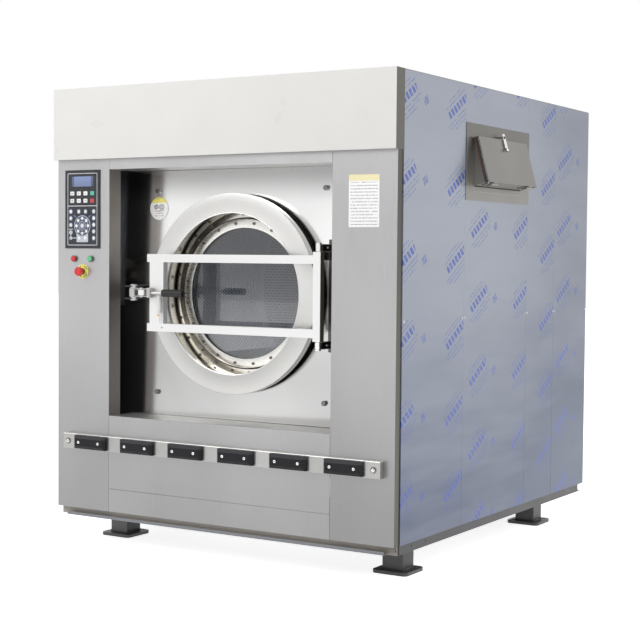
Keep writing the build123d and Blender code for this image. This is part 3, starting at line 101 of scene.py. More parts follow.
# Drum
HOLE_PITCH, HOLE_RADIUS = 0.016, 0.0046
DRUM_STEEL = (0.60, 0.61, 0.63)
DRUM_RADIUS = 0.6

# Edges: flat faces meet within the first angle, shading breaks past the second, bevels start past the third
FLAT_ANGLE, SHARP_ANGLE, BEVEL_ANGLE = math.radians(0.5), math.radians(32), math.radians(40)
PIECE_SHARP_ANGLE = math.radians(35)


# Sizes and colours that a user may change
def colour(name, text, value):
    """A colour setting, in linear light."""
    return bpy.props.FloatVectorProperty(name=name, description=text, size=3, subtype="COLOR", min=0, max=1,
                                         default=value)


def length(name, text, value):
    """A length setting, in metres."""
    return bpy.props.FloatProperty(name=name, description=text, default=value, min=0.0002, unit="LENGTH",
                                   precision=4)


class WasherColours(bpy.types.PropertyGroup):
    """Colours of the finishes."""

    cabinet_steel: colour("Cabinet steel", "Brushed sheet of the pillars and lower panels",
                          (0.439, 0.434, 0.439))
    header_paint: colour("Header", "Pale sheet of the header", (0.79, 0.78, 0.755))
    # Painted reflection: a dark colour on the folded ends of the header and pillars, in place of the dark
    # side they mirror.
    fold_bronze: colour("Folded ends", "Ends of the header and pillars, which mirror the dark side",
                        (0.105, 0.10, 0.083))
    polished_steel: colour("Polished steel", "Tub plate and drum ridges", (0.87, 0.87, 0.865))
    yoke_steel: colour("Yoke steel", "Satin bars across the door", (0.76, 0.76, 0.755))
    film: colour("Film", "Protective film on the side sheets", (0.385, 0.415, 0.485))
    # Painted reflection: the film's colour where it mirrors the dark floor and the rear.
    film_shade: colour("Film shade", "The film where it mirrors the dark floor and the rear",
                       (0.065, 0.09, 0.16))
    film_print: colour("Film print", "Dashes printed on the film", (0.03, 0.08, 0.42))
    hopper_steel: colour("Hopper steel", "Bare sheet of the powder hopper", (0.265, 0.258, 0.24))
    base_paint: colour("Base paint", "Base channels", (0.048, 0.048, 0.051))
    base_sheet: colour("Base sheet", "Steel strip under the front panels", (0.42, 0.385, 0.345))
    rubber: colour("Rubber", "Bumper pads, bellows and hose", (0.012, 0.012, 0.014))
    stop_red: colour("Stop red", "Stop button and mushroom", (0.70, 0.035, 0.035))
    start_green: colour("Start green", "Start button", (0.12, 0.58, 0.29))
    warning_yellow: colour("Yellow", "Disc behind the mushroom, and head of the tag", (0.92, 0.83, 0.16))
    screen_blue: colour("Screen", "Unlit screen of the control panel", (0.22, 0.28, 0.48))


class WasherSizes(bpy.types.PropertyGroup):
    """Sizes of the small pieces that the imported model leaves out."""

    rail_bolt: length("Rail bolt", "Radius of the bolts at the ends of the bumper rail", 0.008)
    panel_screw: length("Panel screw", "Radius of the screws of the side sheets", 0.0058)
    ring_screw: length("Ring screw", "Radius of the screws at the back of the door dish", 0.0065)
    edge: length("Edge", "Rounding of the pillars, base, tub plate, panel, button rings and lock", 0.0012)
    hang_tag: length("Hang tag", "Radius of the round tag on the tub plate", 0.0505)


def colours():
    return bpy.context.scene.washer_colours


def sizes():
    return bpy.context.scene.washer_sizes


def tone(shade):
    """A colour setting by its name, or the colour as given."""
    return getattr(colours(), shade) if isinstance(shade, str) else shade


def scaled(shade, by):
    return tuple(min(1.0, c * by) for c in tone(shade))


# Node trees
def add(tree, kind, **values):
    """A node with the given inputs or properties set."""
    node = tree.nodes.new(kind)
    for key, value in values.items():
        if key in node.inputs:
            node.inputs[key].default_value = value
        else:
            setattr(node, key, value)
    return node


def feed(tree, socket, value):
    """Link a value to a socket, or set a number or a colour on it."""
    if isinstance(value, Value):
        tree.links.new(value.socket, socket)
    elif isinstance(value, (int, float)):
        socket.default_value = value
    else:
        socket.default_value = (*tone(value)[:3], 1.0)


def maths(tree, operation, *values):
    """The result of a maths node."""
    node = add(tree, "ShaderNodeMath", operation=operation)
    for socket, value in zip(node.inputs, values):
        feed(tree, socket, value)
    return Value(tree, node.outputs[0])


class Value:
    """A value in a node tree. Arithmetic and comparisons add maths nodes, and | takes the larger."""

    def __init__(self, tree, socket):
        self.tree, self.socket = tree, socket

    def apply(self, operation, *others):
        return maths(self.tree, operation, self, *others)

    def __add__(self, other):
        return self.apply("ADD", other)

    def __sub__(self, other):
        return self.apply("SUBTRACT", other)

    def __rsub__(self, other):
        return maths(self.tree, "SUBTRACT", other, self)

    def __mul__(self, other):
        return self.apply("MULTIPLY", other)

    def __gt__(self, other):
        return self.apply("GREATER_THAN", other)

    def __lt__(self, other):
        return self.apply("LESS_THAN", other)

    def __or__(self, other):
        return self.apply("MAXIMUM", other)

    def __abs__(self):
        return self.apply("ABSOLUTE")

    def near(self, middle, half):
        """1 where the value is within half of the middle, else 0."""
        return self.apply("COMPARE", middle, half)

    def mapped(self, low, high, start, end, **settings):
        node = add(self.tree, "ShaderNodeMapRange", **settings)
        for key, number in (("From Min", low), ("From Max", high), ("To Min", start), ("To Max", end)):
            node.inputs[key].default_value = number
        self.tree.links.new(self.socket, node.inputs["Value"])
        return Value(self.tree, node.outputs["Result"])

    def spread(self, low, high):
        """Noise, which keeps to the middle half of 0..1, moved to low..high."""
        return self.mapped(0.25, 0.75, low, high)

    def step(self, low, high, start=0.0, end=1.0):
        """A smooth step from start, at low, to end, at high."""
        return self.mapped(low, high, start, end, interpolation_type="SMOOTHSTEP")


def distance(first, second):
    return (first * first + second * second).apply("SQRT")


def shaded(tree, shade, by):
    """A colour times a value."""
    node = add(tree, "ShaderNodeVectorMath", operation="SCALE")
    if isinstance(shade, Value):
        tree.links.new(shade.socket, node.inputs[0])
    else:
        node.inputs[0].default_value = tone(shade)
    feed(tree, node.inputs["Scale"], by)
    return Value(tree, node.outputs[0])


def rays(tree, *kinds):
    """1 for rays of the given kinds, else 0."""
    path = add(tree, "ShaderNodeLightPath")
    found = Value(tree, path.outputs[kinds[0]])
    for kind in kinds[1:]:
        found = found | Value(tree, path.outputs[kind])
    return found


class Look:
    """A material under way: its node tree, the inputs of its shader and the object's coordinates."""

    def __init__(self, name):
        self.material = bpy.data.materials.new(name)
        self.material.use_nodes = True
        self.tree = self.material.node_tree
        self.inputs = self.tree.nodes["Principled BSDF"].inputs
        self.where = add(self.tree, "ShaderNodeTexCoord").outputs["Object"]
        split = add(self.tree, "ShaderNodeSeparateXYZ")
        self.tree.links.new(self.where, split.inputs[0])
        self.x, self.y, self.z = (Value(self.tree, socket) for socket in split.outputs)

    def __setitem__(self, name, value):
        feed(self.tree, self.inputs[name], value)

    def colour(self):
        return Value(self.tree, self.inputs["Base Color"].links[0].from_socket)

    def noise(self, scale, detail=2.0):
        """Noise on the object's coordinates times the scale, which is one number or three."""
        mapping = add(self.tree, "ShaderNodeMapping")
        mapping.inputs["Scale"].default_value = scale if isinstance(scale, tuple) else (scale,) * 3
        self.tree.links.new(self.where, mapping.inputs["Vector"])
        node = add(self.tree, "ShaderNodeTexNoise", Scale=1.0, Detail=detail, Roughness=0.6)
        self.tree.links.new(mapping.outputs["Vector"], node.inputs["Vector"])
        return Value(self.tree, node.outputs["Fac"])

    def ramp(self, value, dark, pale, low=0.3, high=0.7):
        """A colour that runs from dark, where the value is low, to pale, where it is high."""
        node = add(self.tree, "ShaderNodeValToRGB")
        for element, position, shade in zip(node.color_ramp.elements, (low, high), (dark, pale)):
            element.position = position
            element.color = (*shade, 1.0)
        self.tree.links.new(value.socket, node.inputs["Fac"])
        return Value(self.tree, node.outputs["Color"])

    def tint(self, value, shade, darker, paler, low=0.3, high=0.7):
        """Base colour: the shade times darker, where the value is low, to paler, where it is high."""
        self["Base Color"] = self.ramp(value, scaled(shade, darker), scaled(shade, paler), low, high)

    def mix(self, mask, first, second):
        node = add(self.tree, "ShaderNodeMix", data_type="RGBA")
        sockets = node.inputs["Factor"], node.inputs[6], node.inputs[7]
        for socket, value in zip(sockets, (mask, first, second)):
            feed(self.tree, socket, value)
        return Value(self.tree, node.outputs[2])

    def patch(self, mask, shade):
        """Give the masked part another colour."""
        self["Base Color"] = self.mix(mask, self.colour(), shade)
        return self

    def dim(self, *factors):
        """Multiply the colour by the product of the factors."""
        product = factors[0]
        for factor in factors[1:]:
            product = product * factor
        self["Base Color"] = shaded(self.tree, self.colour(), product)
        return self

    def bump(self, height, strength, reach):
        node = add(self.tree, "ShaderNodeBump", Strength=strength, Distance=reach)
        self.tree.links.new(height.socket, node.inputs["Height"])
        self.tree.links.new(node.outputs["Normal"], self.inputs["Normal"])


# Finishes
def brushed_sheet(name, shade, stretch=(900, 900, 6), rough=(0.26, 0.44), metallic=0.85, cloud=0.10):
    """Brushed steel: fine noise stretched along the grain, over slow clouding of the colour."""
    look = Look(name)
    grain = look.noise(stretch)
    slow = look.noise((1.4, 1.4, 0.7))
    look.tint(slow * 0.65 + grain * 0.35, shade, 1 - cloud, 1 + cloud, 0.35, 0.65)
    look["Roughness"] = grain.spread(*rough)
    look["Metallic"] = metallic
    look.bump(grain, 0.05, 0.0004)
    return look


def coat_of_paint(name, shade, rough=0.32, peel=0.03, dust=0.07):
    """Paint: faint orange peel and dust that lightens the colour a little."""
    look = Look(name)
    slow = look.noise(5, 3.0)
    look.tint(slow, shade, 1 - dust, 1 + dust)
    look["Roughness"] = slow.spread(rough * 0.85, rough * 1.2)
    look.bump(look.noise(320), peel, 0.0005)
    return look


def moulded(name, shade, rough=0.4, grain=0.05, scale=900, shine=0.5):
    """Moulded plastic or rubber: a fine grain, and patches that are a little rougher."""
    look = Look(name)
    slow = look.noise(18, 3.0)
    look.tint(slow, shade, 0.85, 1.2)
    look["Roughness"] = slow.spread(rough * 0.8, min(1.0, rough * 1.25))
    look["Specular IOR Level"] = shine
    look.bump(look.noise(scale), grain, 0.0006)
    return look


def bright_metal(name, shade, rough=0.14, scratch=0.02):
    """Polished or plated metal with hairlines that change its roughness."""
    look = Look(name)
    hairs = look.noise((60, 900, 900))
    look.tint(look.noise(7), shade, 0.93, 1.05)
    look["Roughness"] = hairs.spread(rough * 0.7, rough * 1.4)
    look["Metallic"] = 1.0
    look.bump(hairs, scratch, 0.0002)
    return look


def cast_iron(name, shade):
    """Painted casting: coarse sand texture under enamel."""
    look = coat_of_paint(name, shade, 0.45)
    look.bump(look.noise(150, 4.0), 0.35, 0.002)
    return look


def pillar_sheet(name, low, right, inside):
    """Brushed front sheet: long vertical grain, painted shade low down and to the right, a painted tone where
    it turns into the opening, and a painted dark reflection where it folds back at the side."""
    look = brushed_sheet(name, "cabinet_steel")
    # Painted shade: darker low down and towards the right.
    look.dim(look.z.step(0.1, 1.3, low, 1.0), look.x.step(-0.6, 0.6, 1.0, right))
    behind = look.y > FRONT + 0.0035
    opening_half, side_half = 0.5785, 0.8715
    # Painted tone on the returns into the opening: shade on the pillars' jambs, a highlight on the front
    # panels' returns such as the top of the sill.
    look.patch((abs(look.x) < opening_half) * behind, inside)
    return look.patch((abs(look.x) > side_half) * behind, "fold_bronze")


def header_sheet():
    """Pale header: a satin coat, a little darker to the right by painted shade, and a painted dark reflection
    where its ends fold back.
    """
    look = coat_of_paint("header_sheet", "header_paint", 0.30, 0.015, 0.012)
    # Painted shade: a little darker towards the right.
    look.dim(look.x.step(-0.6, 0.8, 1.0, 0.965))
    return look.patch((abs(look.x) > 0.8765) * (look.y > HEADER_FACE + 0.002), "fold_bronze")


def base_channel():
    """Dark enamel, with a strip of bare steel along the front that painted shade darkens towards its right
    end.
    """
    look = coat_of_paint("base_enamel", "base_paint", 0.38, 0.12)
    strip = look.y < FRONT + 0.0375
    look.patch(strip, "base_sheet")
    # Painted shade: the strip darker towards its right end.
    look.patch(strip * look.x.step(0.76, 0.84), (0.26, 0.24, 0.215))
    return look.patch(look.y < FRONT + 0.0125, (0.22, 0.23, 0.25))


def foot_enamel():
    """Foot enamel, paler on the left feet by painted light, and dark on each post's right face by painted
    shade.
    """
    look = coat_of_paint("foot_enamel", (0.085, 0.085, 0.09), 0.34, 0.12)
    # Painted light: the left feet paler, the right feet a little darker.
    look.dim(look.x.step(-0.6, 0.6, 1.9, 0.9))
    low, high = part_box("feet")
    # Painted shade on the right face of each post.
    for edge, shade in ((low.x + 0.1305, 0.012), (high.x - 0.0345, 0.035)):
        look.patch(look.x.near(edge, 0.0012), (shade, shade, shade))
    return look


def tub_plate_steel():
    """Polished plate. It is a little warped, h = 0.09 x (z - door centre), and hairlines run up it."""
    look = Look("tub_plate_steel")
    x, z = look.x, look.z
    hairs = look.noise((900, 900, 20))
    slow = look.noise((3, 3, 1.5))
    look.tint(slow, "polished_steel", 0.97, 1.03)
    look["Roughness"] = hairs.spread(0.12, 0.20)
    look["Metallic"] = 1.0
    look.bump(hairs * 0.000006 + (slow * 0.002 + x * (z - DOOR_Z) * 0.09), 1.0, 1.0)
    look.patch(look.y < PLATE_FACE - 0.0006, (0.30, 0.29, 0.28))
    # Painted shade and reflection: darker at the top under the lintel, where the plate mirrors the dark
    # soffit, darker towards the foot, and a little darker to the right.
    return look.dim(z.step(1.52, 1.68, 1.0, 0.48), z.step(0.75, 1.45, 0.50, 1.0), x.step(0.0, 0.6, 1.0, 0.85))


def dish_sheet():
    """Bright-rolled dish: warm, with a painted reflection that makes it dark in a band beside the lock and
    bright towards its foot.
    """
    look = bright_metal("dish_steel", (0.92, 0.88, 0.80), 0.15)
    # Painted reflection: a dark band at the height of the lock, and darker towards the top.
    side = abs(look.z - (DOOR_Z + 0.12)).step(0.12, 0.30, 0.38, 1.0)
    return look.dim(side, look.z.step(1.25, 1.45, 1.0, 0.75))


def rail_sheet():
    """Rail steel with a painted highlight along the folded edge of its top."""
    look = brushed_sheet("rail_sheet", (0.352, 0.348, 0.340), (6, 900, 900), (0.24, 0.38))
    # Painted highlight along the top edge.
    return look.patch(look.z > BUMPER_HIGH.z - 0.003, (0.80, 0.79, 0.77))


def pad_rubber():
    """Pad rubber, with a painted highlight on the slope along its top."""
    look = moulded("pad_rubber", "rubber", 0.46, 0.12, 500, 0.18)
    # Painted highlight: paler on the slope along the top.
    return look.patch(look.z.step(BUMPER_Z + 0.0155, BUMPER_Z + 0.019) * 0.8, (0.055, 0.055, 0.062))


def ring_sheet():
    """Satin door ring, fine grain without direction, darker towards its foot by painted shade."""
    look = brushed_sheet("ring_steel", (0.66, 0.655, 0.64), (300, 300, 300), (0.24, 0.36), 0.9, 0.05)
    # Painted shade: darker towards the foot.
    return look.dim(look.z.step(0.72, 1.35, 0.72, 0.94))


def film_print(look):
    """Slanted print that repeats on a lattice: one bold row of strokes, thin dashed rows beside it and a
    small blot. Each sheet has its own offset, and the print is worn in places."""
    y, z = look.y, look.z
    shift = None
    for seam, by in zip(SEAMS, PRINT_SHIFTS):
        step = (y > FRONT + seam * MM) * by
        shift = step if shift is None else shift + step
    half_across, half_up = PRINT_CELL
    across = (y + shift * 1.3).apply("WRAP", half_across, -half_across)
    up = (z + shift).apply("WRAP", half_up, -half_up)
    cos, sin = math.cos(PRINT_SLANT), math.sin(PRINT_SLANT)
    along = across * cos + up * sin
    over = up * cos - across * sin
    stroke = ((along + over * 0.3) * 34.0).apply("FRACT")
    marks = along.near(-0.005, 0.092) * over.near(0.030, 0.017) * (stroke < 0.66) * 0.85
    dashes = look.noise((1, 140, 80), 0.0)
    gaps = dashes > 0.44
    for row, reach in PRINT_ROWS:
        marks = marks | along.near(-0.01, reach) * over.near(row, 0.0042) * gaps * 0.42
    blot = along.near(0.135, 0.019) * over.near(-0.055, 0.017) * (dashes > 0.40)
    marks = marks | blot * 0.6
    return marks * look.noise((1, 60, 60)).step(0.30, 0.50, 0.45, 1.0)


def film_sheet():
    """Protective film on steel, which ripples low down, under its print; a painted reflection darkens it low
    down, at the top, towards the rear and along its ripples.
    """
    look = Look("film_sheet")
    y, z = look.y, look.z
    slow = look.noise((1, 0.8, 2.6), 3.0)
    waves = look.noise((1, 1.3, 9.0))
    # Painted reflection: how far the film turns to its shade colour, more low down, at the top and towards
    # the rear, with ripples and slow clouds.
    depth = z.step(0.25, 1.45, 0.86, 0.12) + z.step(1.7, 2.0, 0.0, 0.04) + y.step(-0.3, 0.95, 0.0, 0.34)
    ripple = (waves - 0.5) * z.step(0.3, 1.1, 0.55, 0.15)
    depth = depth + ripple + (slow * 0.24 - 0.12)
    sheet = look.mix(depth.apply("MINIMUM", 1.0), "film", "film_shade")
    look["Base Color"] = look.mix(film_print(look), sheet, "film_print")
    look["Metallic"] = 0.35
    look["Roughness"] = slow.spread(0.24, 0.42)
    look["Coat Weight"] = 0.25
    look["Coat Roughness"] = 0.2
    look.bump(waves, 0.12, 0.004)
    return look


def hexagon_holes(first, second):
    """1 inside round holes on a hexagonal lattice: the nearer of two rectangular lattices, half a cell
    apart."""
    row = HOLE_PITCH * math.sqrt(3)
    found = None
    for half in (0.0, 0.5):
        a = (first + half * HOLE_PITCH).apply("WRAP", HOLE_PITCH / 2, -HOLE_PITCH / 2)
        b = (second + half * row).apply("WRAP", row / 2, -row / 2)
        hole = distance(a, b).step(HOLE_RADIUS * 0.8, HOLE_RADIUS * 1.1, 1.0, 0.0)
        found = hole if found is None else found | hole
    return found


def perforated_drum():
    """Drum steel: holes laid round the wall by its angle and along the back by x and z."""
    look = Look("perforated_drum")
    x, y = look.x, look.y
    up = look.z - DOOR_Z
    far = distance(x, up)
    wall_from, back_rim, back_hub = 0.594, 0.56, 0.18  # distances from the drum's axis
    mouth, back_from, rear = FRONT + 0.32, 0.10, 0.2205  # places along it
    wall = hexagon_holes(up.apply("ARCTAN2", x) * DRUM_RADIUS, y) * (far > wall_from)
    back = hexagon_holes(x, up) * ((far < back_rim) * (far > back_hub) * (y > back_from))
    holes = wall * ((y > mouth) * (y < rear)) | back
    slow = look.noise(4, 3.0)
    steel = look.ramp(slow, scaled(DRUM_STEEL, 0.85), scaled(DRUM_STEEL, 1.05))
    look["Base Color"] = look.mix(holes, steel, (0.004, 0.004, 0.005))
    look["Metallic"] = holes * -0.55 + 0.55
    look["Roughness"] = slow.spread(0.34, 0.46) + holes * 0.4
    look.bump(1.0 - holes, 0.6, 0.002)
    return look


def smoked_glass():
    """Dark glass that mirrors what stands before it, and lets the drum show through by its alpha."""
    look = Look("smoked_glass")
    smears = look.noise(9, 4.0)
    look["Roughness"] = smears.spread(0.015, 0.05)
    look["Base Color"] = look.ramp(smears, (0.034, 0.042, 0.062), (0.042, 0.052, 0.075), 0.35)
    look["IOR"] = 2.3
    look["Alpha"] = 0.50
    return look


def screen_face():
    """Blue-violet screen with a faint vertical fade, darker ends and fine dot rows."""
    look = Look("screen_face")
    fade = look.z.step(1.612, 1.660, 0.85, 1.1) * abs(look.x + 0.728).step(0.045, 0.054, 1.0, 0.45)
    dots = (look.z * 700.0).apply("FRACT")
    look["Base Color"] = shaded(look.tree, "screen_blue", fade * (dots * 0.2 + 0.9))
    look["Roughness"] = look.noise(30, 3.0).spread(0.12, 0.22)
    return look


def printed_card(name, top, rows, left, right, low, head_colour):
    """White card with a coloured head band and thin grey rules in place of writing."""
    look = Look(name)
    x, z = look.x, look.z
    step = ((z - low) * rows).apply("FRACT")
    dashes = look.noise((330, 1, rows * 0.9), 0.0)
    ink = (step < 0.36) * (dashes > 0.42) * (x > left) * (x < right) * (z > low) * (z < top - 0.004)
    slow = look.noise(12)
    paper = look.ramp(slow, (0.97, 0.97, 0.965), (1.0, 1.0, 0.995))
    look["Base Color"] = look.mix(z > top, look.mix(ink * 0.55, paper, (0.10, 0.10, 0.12)), head_colour)
    look["Roughness"] = slow.spread(0.35, 0.5)
    return look.material


def estop_disc():
    """Yellow disc with four plain dark arcs round the head."""
    look = moulded("estop_disc", "warning_yellow", 0.38)
    low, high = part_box("estop_plate")
    across, up = look.x - (low.x + high.x) / 2, look.z - (low.z + high.z) / 2
    turn = (up.apply("ARCTAN2", across) * (4 / (2 * math.pi))).apply("FRACT")
    arcs = distance(across, up).near(0.0258, 0.0018) * turn.near(0.5, 0.27)
    return look.patch(arcs, (0.05, 0.05, 0.04))


def hopper_sheet(name):
    return brushed_sheet(name, "hopper_steel", (500, 12, 500), (0.28, 0.45))


def lid_sheet():
    """Hopper steel of the lid, with painted shade on its folded sides."""
    look = hopper_sheet("lid_sheet")
    # Painted shade on the folded sides.
    return look.patch(look.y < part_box("hopper_lid")[0].y + 0.0004, (0.10, 0.095, 0.09))


def hopper_plate():
    """Hopper steel of the frame and duct, paler towards the foot and darker towards the top by painted light
    and shade.
    """
    look = hopper_sheet("hopper_sheet")
    # Painted light and shade: paler towards the foot, darker towards the top.
    return look.dim(look.z.step(1.56, 1.86, 1.18, 0.74))


def hinge_sheet():
    """Hinge arms: dark, with a bright turned knuckle."""
    look = bright_metal("hinge_steel", (0.10, 0.098, 0.092), 0.24, 0.1)
    return look.patch(look.y < FRONT + 0.048, (0.78, 0.77, 0.75))


def yoke_sheet():
    """Yoke tube, with painted shade on its side next to the hinge."""
    look = brushed_sheet("yoke_sheet", "yoke_steel", (6, 900, 900), (0.30, 0.42), 0.55, 0.03)
    # Painted shade on the side next to the hinge.
    return look.patch(look.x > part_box("yoke")[1].x - 0.0008, (0.15, 0.135, 0.11))


LOOKS = {  # finish: its function and what it is called with
    "dark_base": (base_channel,),
    "foot_enamel": (foot_enamel,),
    "frame_paint": (coat_of_paint, "frame_enamel", (0.10, 0.105, 0.115), 0.4, 0.06),
    # For both sheets the last three values are painted shade low down, painted shade on the right, and the
    # painted tone of the returns into the opening.
    "panel_steel": (pillar_sheet, "pillar_sheet", 0.605, 0.895, (0.235, 0.215, 0.20)),
    "header_white": (header_sheet,),
    "front_sheet": (pillar_sheet, "front_sheet", 0.665, 0.96, (0.62, 0.61, 0.59)),
    "tub_plate": (tub_plate_steel,),
    "rear_steel": (brushed_sheet, "rear_sheet", (0.31, 0.312, 0.315), (6, 900, 900), (0.26, 0.44), 1.0),
    "filmed_steel": (film_sheet,),
    "bare_steel": (hopper_plate,),
    "lid_sheet": (lid_sheet,),
    "estop_disc": (estop_disc,),
    "lever_steel": (bright_metal, "lever_steel", (0.46, 0.455, 0.44), 0.15, 0.05),
    "grip_rubber": (moulded, "grip_rubber", (0.010, 0.010, 0.011), 0.34, 0.05, 500, 0.4),
    "hinge_plate": (bright_metal, "hinge_plate", (0.11, 0.105, 0.10), 0.18, 0.05),
    "rail_steel": (rail_sheet,),
    "pad_rubber": (pad_rubber,),
    "black_rubber": (moulded, "black_rubber", "rubber", 0.46, 0.12, 500, 0.35),
    "seal_rubber": (moulded, "seal_rubber", (0.02, 0.02, 0.021), 0.6, 0.1, 400),
    "red_rubber": (moulded, "gasket_rubber", (0.22, 0.05, 0.035), 0.6, 0.1, 400),
    "black_plastic": (moulded, "panel_plastic", (0.020, 0.021, 0.026), 0.30, 0.02),
    "steel_plastic": (moulded, "housing_plastic", (0.30, 0.30, 0.31), 0.35),
    "yellow_plastic": (moulded, "yellow_plastic", "warning_yellow", 0.38),
    "red_plastic": (moulded, "red_plastic", "stop_red", 0.22, 0.01),
    "green_plastic": (moulded, "green_plastic", "start_green", 0.22, 0.01),
    "white_plastic": (moulded, "white_plastic", (0.74, 0.74, 0.72)),
    "grey_plastic": (moulded, "pipe_plastic", (0.26, 0.26, 0.27), 0.42),
    "key_white": (moulded, "key_white", (0.84, 0.84, 0.85), 0.35, 0.02),
    "key_blue": (moulded, "key_blue", (0.18, 0.42, 0.78), 0.35, 0.02),
    "key_line": (moulded, "panel_line", (0.62, 0.64, 0.68), 0.35, 0.02),
    "key_green": (moulded, "key_green", (0.10, 0.50, 0.38), 0.3, 0.02),
    "key_red": (moulded, "key_red", (0.55, 0.06, 0.07), 0.3, 0.02),
    "lamp_yellow": (moulded, "lamp_yellow", (0.80, 0.48, 0.04), 0.2, 0.01),
    "panel_grey": (moulded, "panel_grey", (0.50, 0.53, 0.60), 0.35, 0.02),
    "panel_print": (moulded, "panel_print", (0.060, 0.075, 0.13), 0.35, 0.02),
    "chrome": (bright_metal, "chrome", (0.80, 0.80, 0.80), 0.10),
    "screw_steel": (bright_metal, "screw_steel", (0.16, 0.15, 0.13), 0.28, 0.1),
    "zinc": (bright_metal, "zinc", (0.42, 0.41, 0.39), 0.30, 0.1),
    "brass_pipe": (bright_metal, "brass", (0.62, 0.42, 0.16), 0.30, 0.1),
    "black_steel": (coat_of_paint, "black_enamel", (0.014, 0.014, 0.016), 0.32, 0.05),
    "polished_steel": (bright_metal, "polished_steel", "polished_steel", 0.13, 0.01),
    "ring_steel": (ring_sheet,),
    "dish_steel": (dish_sheet,),
    "clamp_steel": (bright_metal, "clamp_steel", (0.72, 0.705, 0.67), 0.24),
    "hinge_steel": (hinge_sheet,),
    "yoke_steel": (yoke_sheet,),
    "cast": (cast_iron, "cast_iron", (0.055, 0.06, 0.07)),
    "bearing_steel": (bright_metal, "ground_steel", (0.62, 0.62, 0.63), 0.22, 0.1),
    "motor_paint": (cast_iron, "motor_enamel", (0.035, 0.065, 0.12)),
    "glass": (smoked_glass,),
    "drum": (perforated_drum,),
    "screen": (screen_face,),
}
# Parts whose finish isn't that of their slot
OWN_LOOKS = {
    "bumper_rail": "rail_steel", "drum_shell": "drum", "door_ring": "ring_steel", "clamp_ring": "dish_steel",
    "front_panels": "front_sheet", "tub_front_plate": "tub_plate",
}
FINISHES = {}


def finish(name):
    """A finish by name, made once, or the material as given."""
    if not isinstance(name, str):
        return name
    if name not in FINISHES:
        maker, *values = LOOKS[name]
        FINISHES[name] = maker(*values).material
    return FINISHES[name]


# Shapes
FRONT_WAY = np.array([[1, 0, 0], [0, 0, 1], [0, -1, 0]], float)
SIDE_WAY = np.array([[0, 1, 0], [0, 0, 1], [1, 0, 0]], float)
LEFT_WAY = SIDE_WAY * [[-1], [1], [-1]]
BACK_WAY = np.array([[-1, 0, 0], [0, 0, 1], [0, 1, 0]], float)


def at(x, y, z):
    """A place in the row frame from millimetres, y counted from the face of the pillars."""
    return np.array([x * MM, FRONT + y * MM, z * MM])


def profile(points):
    """A (radius, y) outline in the row frame from millimetres, y counted from the face of the pillars."""
    return np.array([(r * MM, FRONT + y * MM) for r, y in points])


def linked(name, data):
    made = bpy.data.objects.new(name, data)
    bpy.context.scene.collection.objects.link(made)
    return made


def shade_smooth(mesh, angle):
    mesh.polygons.foreach_set("use_smooth", np.ones(len(mesh.polygons), bool))
    mesh.set_sharp_from_angle(angle=angle)


def piece(name, shape, look, body):
    """A mesh piece in the row frame, its faces turned outwards if its signed volume is negative."""
    points, faces = shape
    first = points[[f[0] for f in faces]]
    volume = 0.0
    for step in range(1, max(len(f) for f in faces) - 1):
        use = [i for i, f in enumerate(faces) if len(f) > step + 1]
        second = points[[faces[i][step] for i in use]]
        third = points[[faces[i][step + 1] for i in use]]
        volume += np.einsum("ij,ij->", first[use], np.cross(second, third))
    if volume < 0:
        faces = [tuple(reversed(f)) for f in faces]
    mesh = bpy.data.meshes.new(name)
    mesh.from_pydata(points.tolist(), [], faces)
    mesh.update()
    mesh.materials.append(finish(look))
    shade_smooth(mesh, PIECE_SHARP_ANGLE)
    made = linked(name, mesh)
    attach(made, body)
    return made


def fitted(name, shape, places, way, look, body="cabinet"):
    """Copies of a shape at the places, as one piece."""
    return piece(name, placed(shape, places, way), look, body)


def round_points(count):
    """Points of a unit circle, at equal steps."""
    angle = np.arange(count) * 2 * np.pi / count
    return np.stack([np.cos(angle), np.sin(angle)], -1)


def grid_faces(rows, columns, closed=True):
    """Quads between neighbouring rows of points, and round the seam where each row is a ring."""
    along = np.arange(columns if closed else columns - 1)[None, :]
    start = np.arange(rows - 1)[:, None] * columns
    here, across = start + along, start + (along + 1) % columns
    quads = np.stack([here, across, across + columns, here + columns], -1).reshape(-1, 4)
    return [tuple(q) for q in quads.tolist()]


def ring_faces(rows, columns):
    """The quads of a grid of rings, and those between its last ring and its first."""
    last, here = (rows - 1) * columns, np.arange(columns)
    after = (here + 1) % columns
    close = np.stack([last + here, last + after, after, here], -1)
    return grid_faces(rows, columns) + [tuple(q) for q in close.tolist()]


def capped_faces(rows, columns):
    """The quads of a grid of rings, with one face across each end."""
    last = (rows - 1) * columns
    return grid_faces(rows, columns) + [tuple(range(columns)), tuple(range(last, last + columns))]


def rounded(outline, radius, steps=4):
    """A closed outline whose corners are replaced by quadratic arcs that start radius before each corner."""
    before, after = np.roll(outline, 1, 0) - outline, np.roll(outline, -1, 0) - outline
    long_before, long_after = np.linalg.norm(before, axis=1), np.linalg.norm(after, axis=1)
    reach = np.minimum(radius, 0.45 * np.minimum(long_before, long_after))[:, None]
    start = outline + before / long_before[:, None] * reach
    end = outline + after / long_after[:, None] * reach
    t = np.linspace(0, 1, steps)[None, :, None]
    return ((1 - t) ** 2 * start[:, None] + 2 * t * (1 - t) * outline[:, None]
            + t ** 2 * end[:, None]).reshape(-1, 2)


def turned_points(outline, segments):
    """(radius, y) points carried round the door's axis: x = r sin a, z = r cos a."""
    angle = np.arange(segments) * 2 * np.pi / segments
    x = outline[:, :1] * np.sin(angle)
    z = DOOR_Z + outline[:, :1] * np.cos(angle)
    y = np.repeat(outline[:, 1:], segments, 1)
    return np.stack([x, y, z], -1).reshape(-1, 3)


def turned(name, points, radius, look, segments=200):
    """A closed ring of the door: the rounded (radius, y) outline carried round the door's axis."""
    outline = rounded(profile(points), radius)
    shape = turned_points(outline, segments), ring_faces(len(outline), segments)
    return piece(name, shape, look, "door")


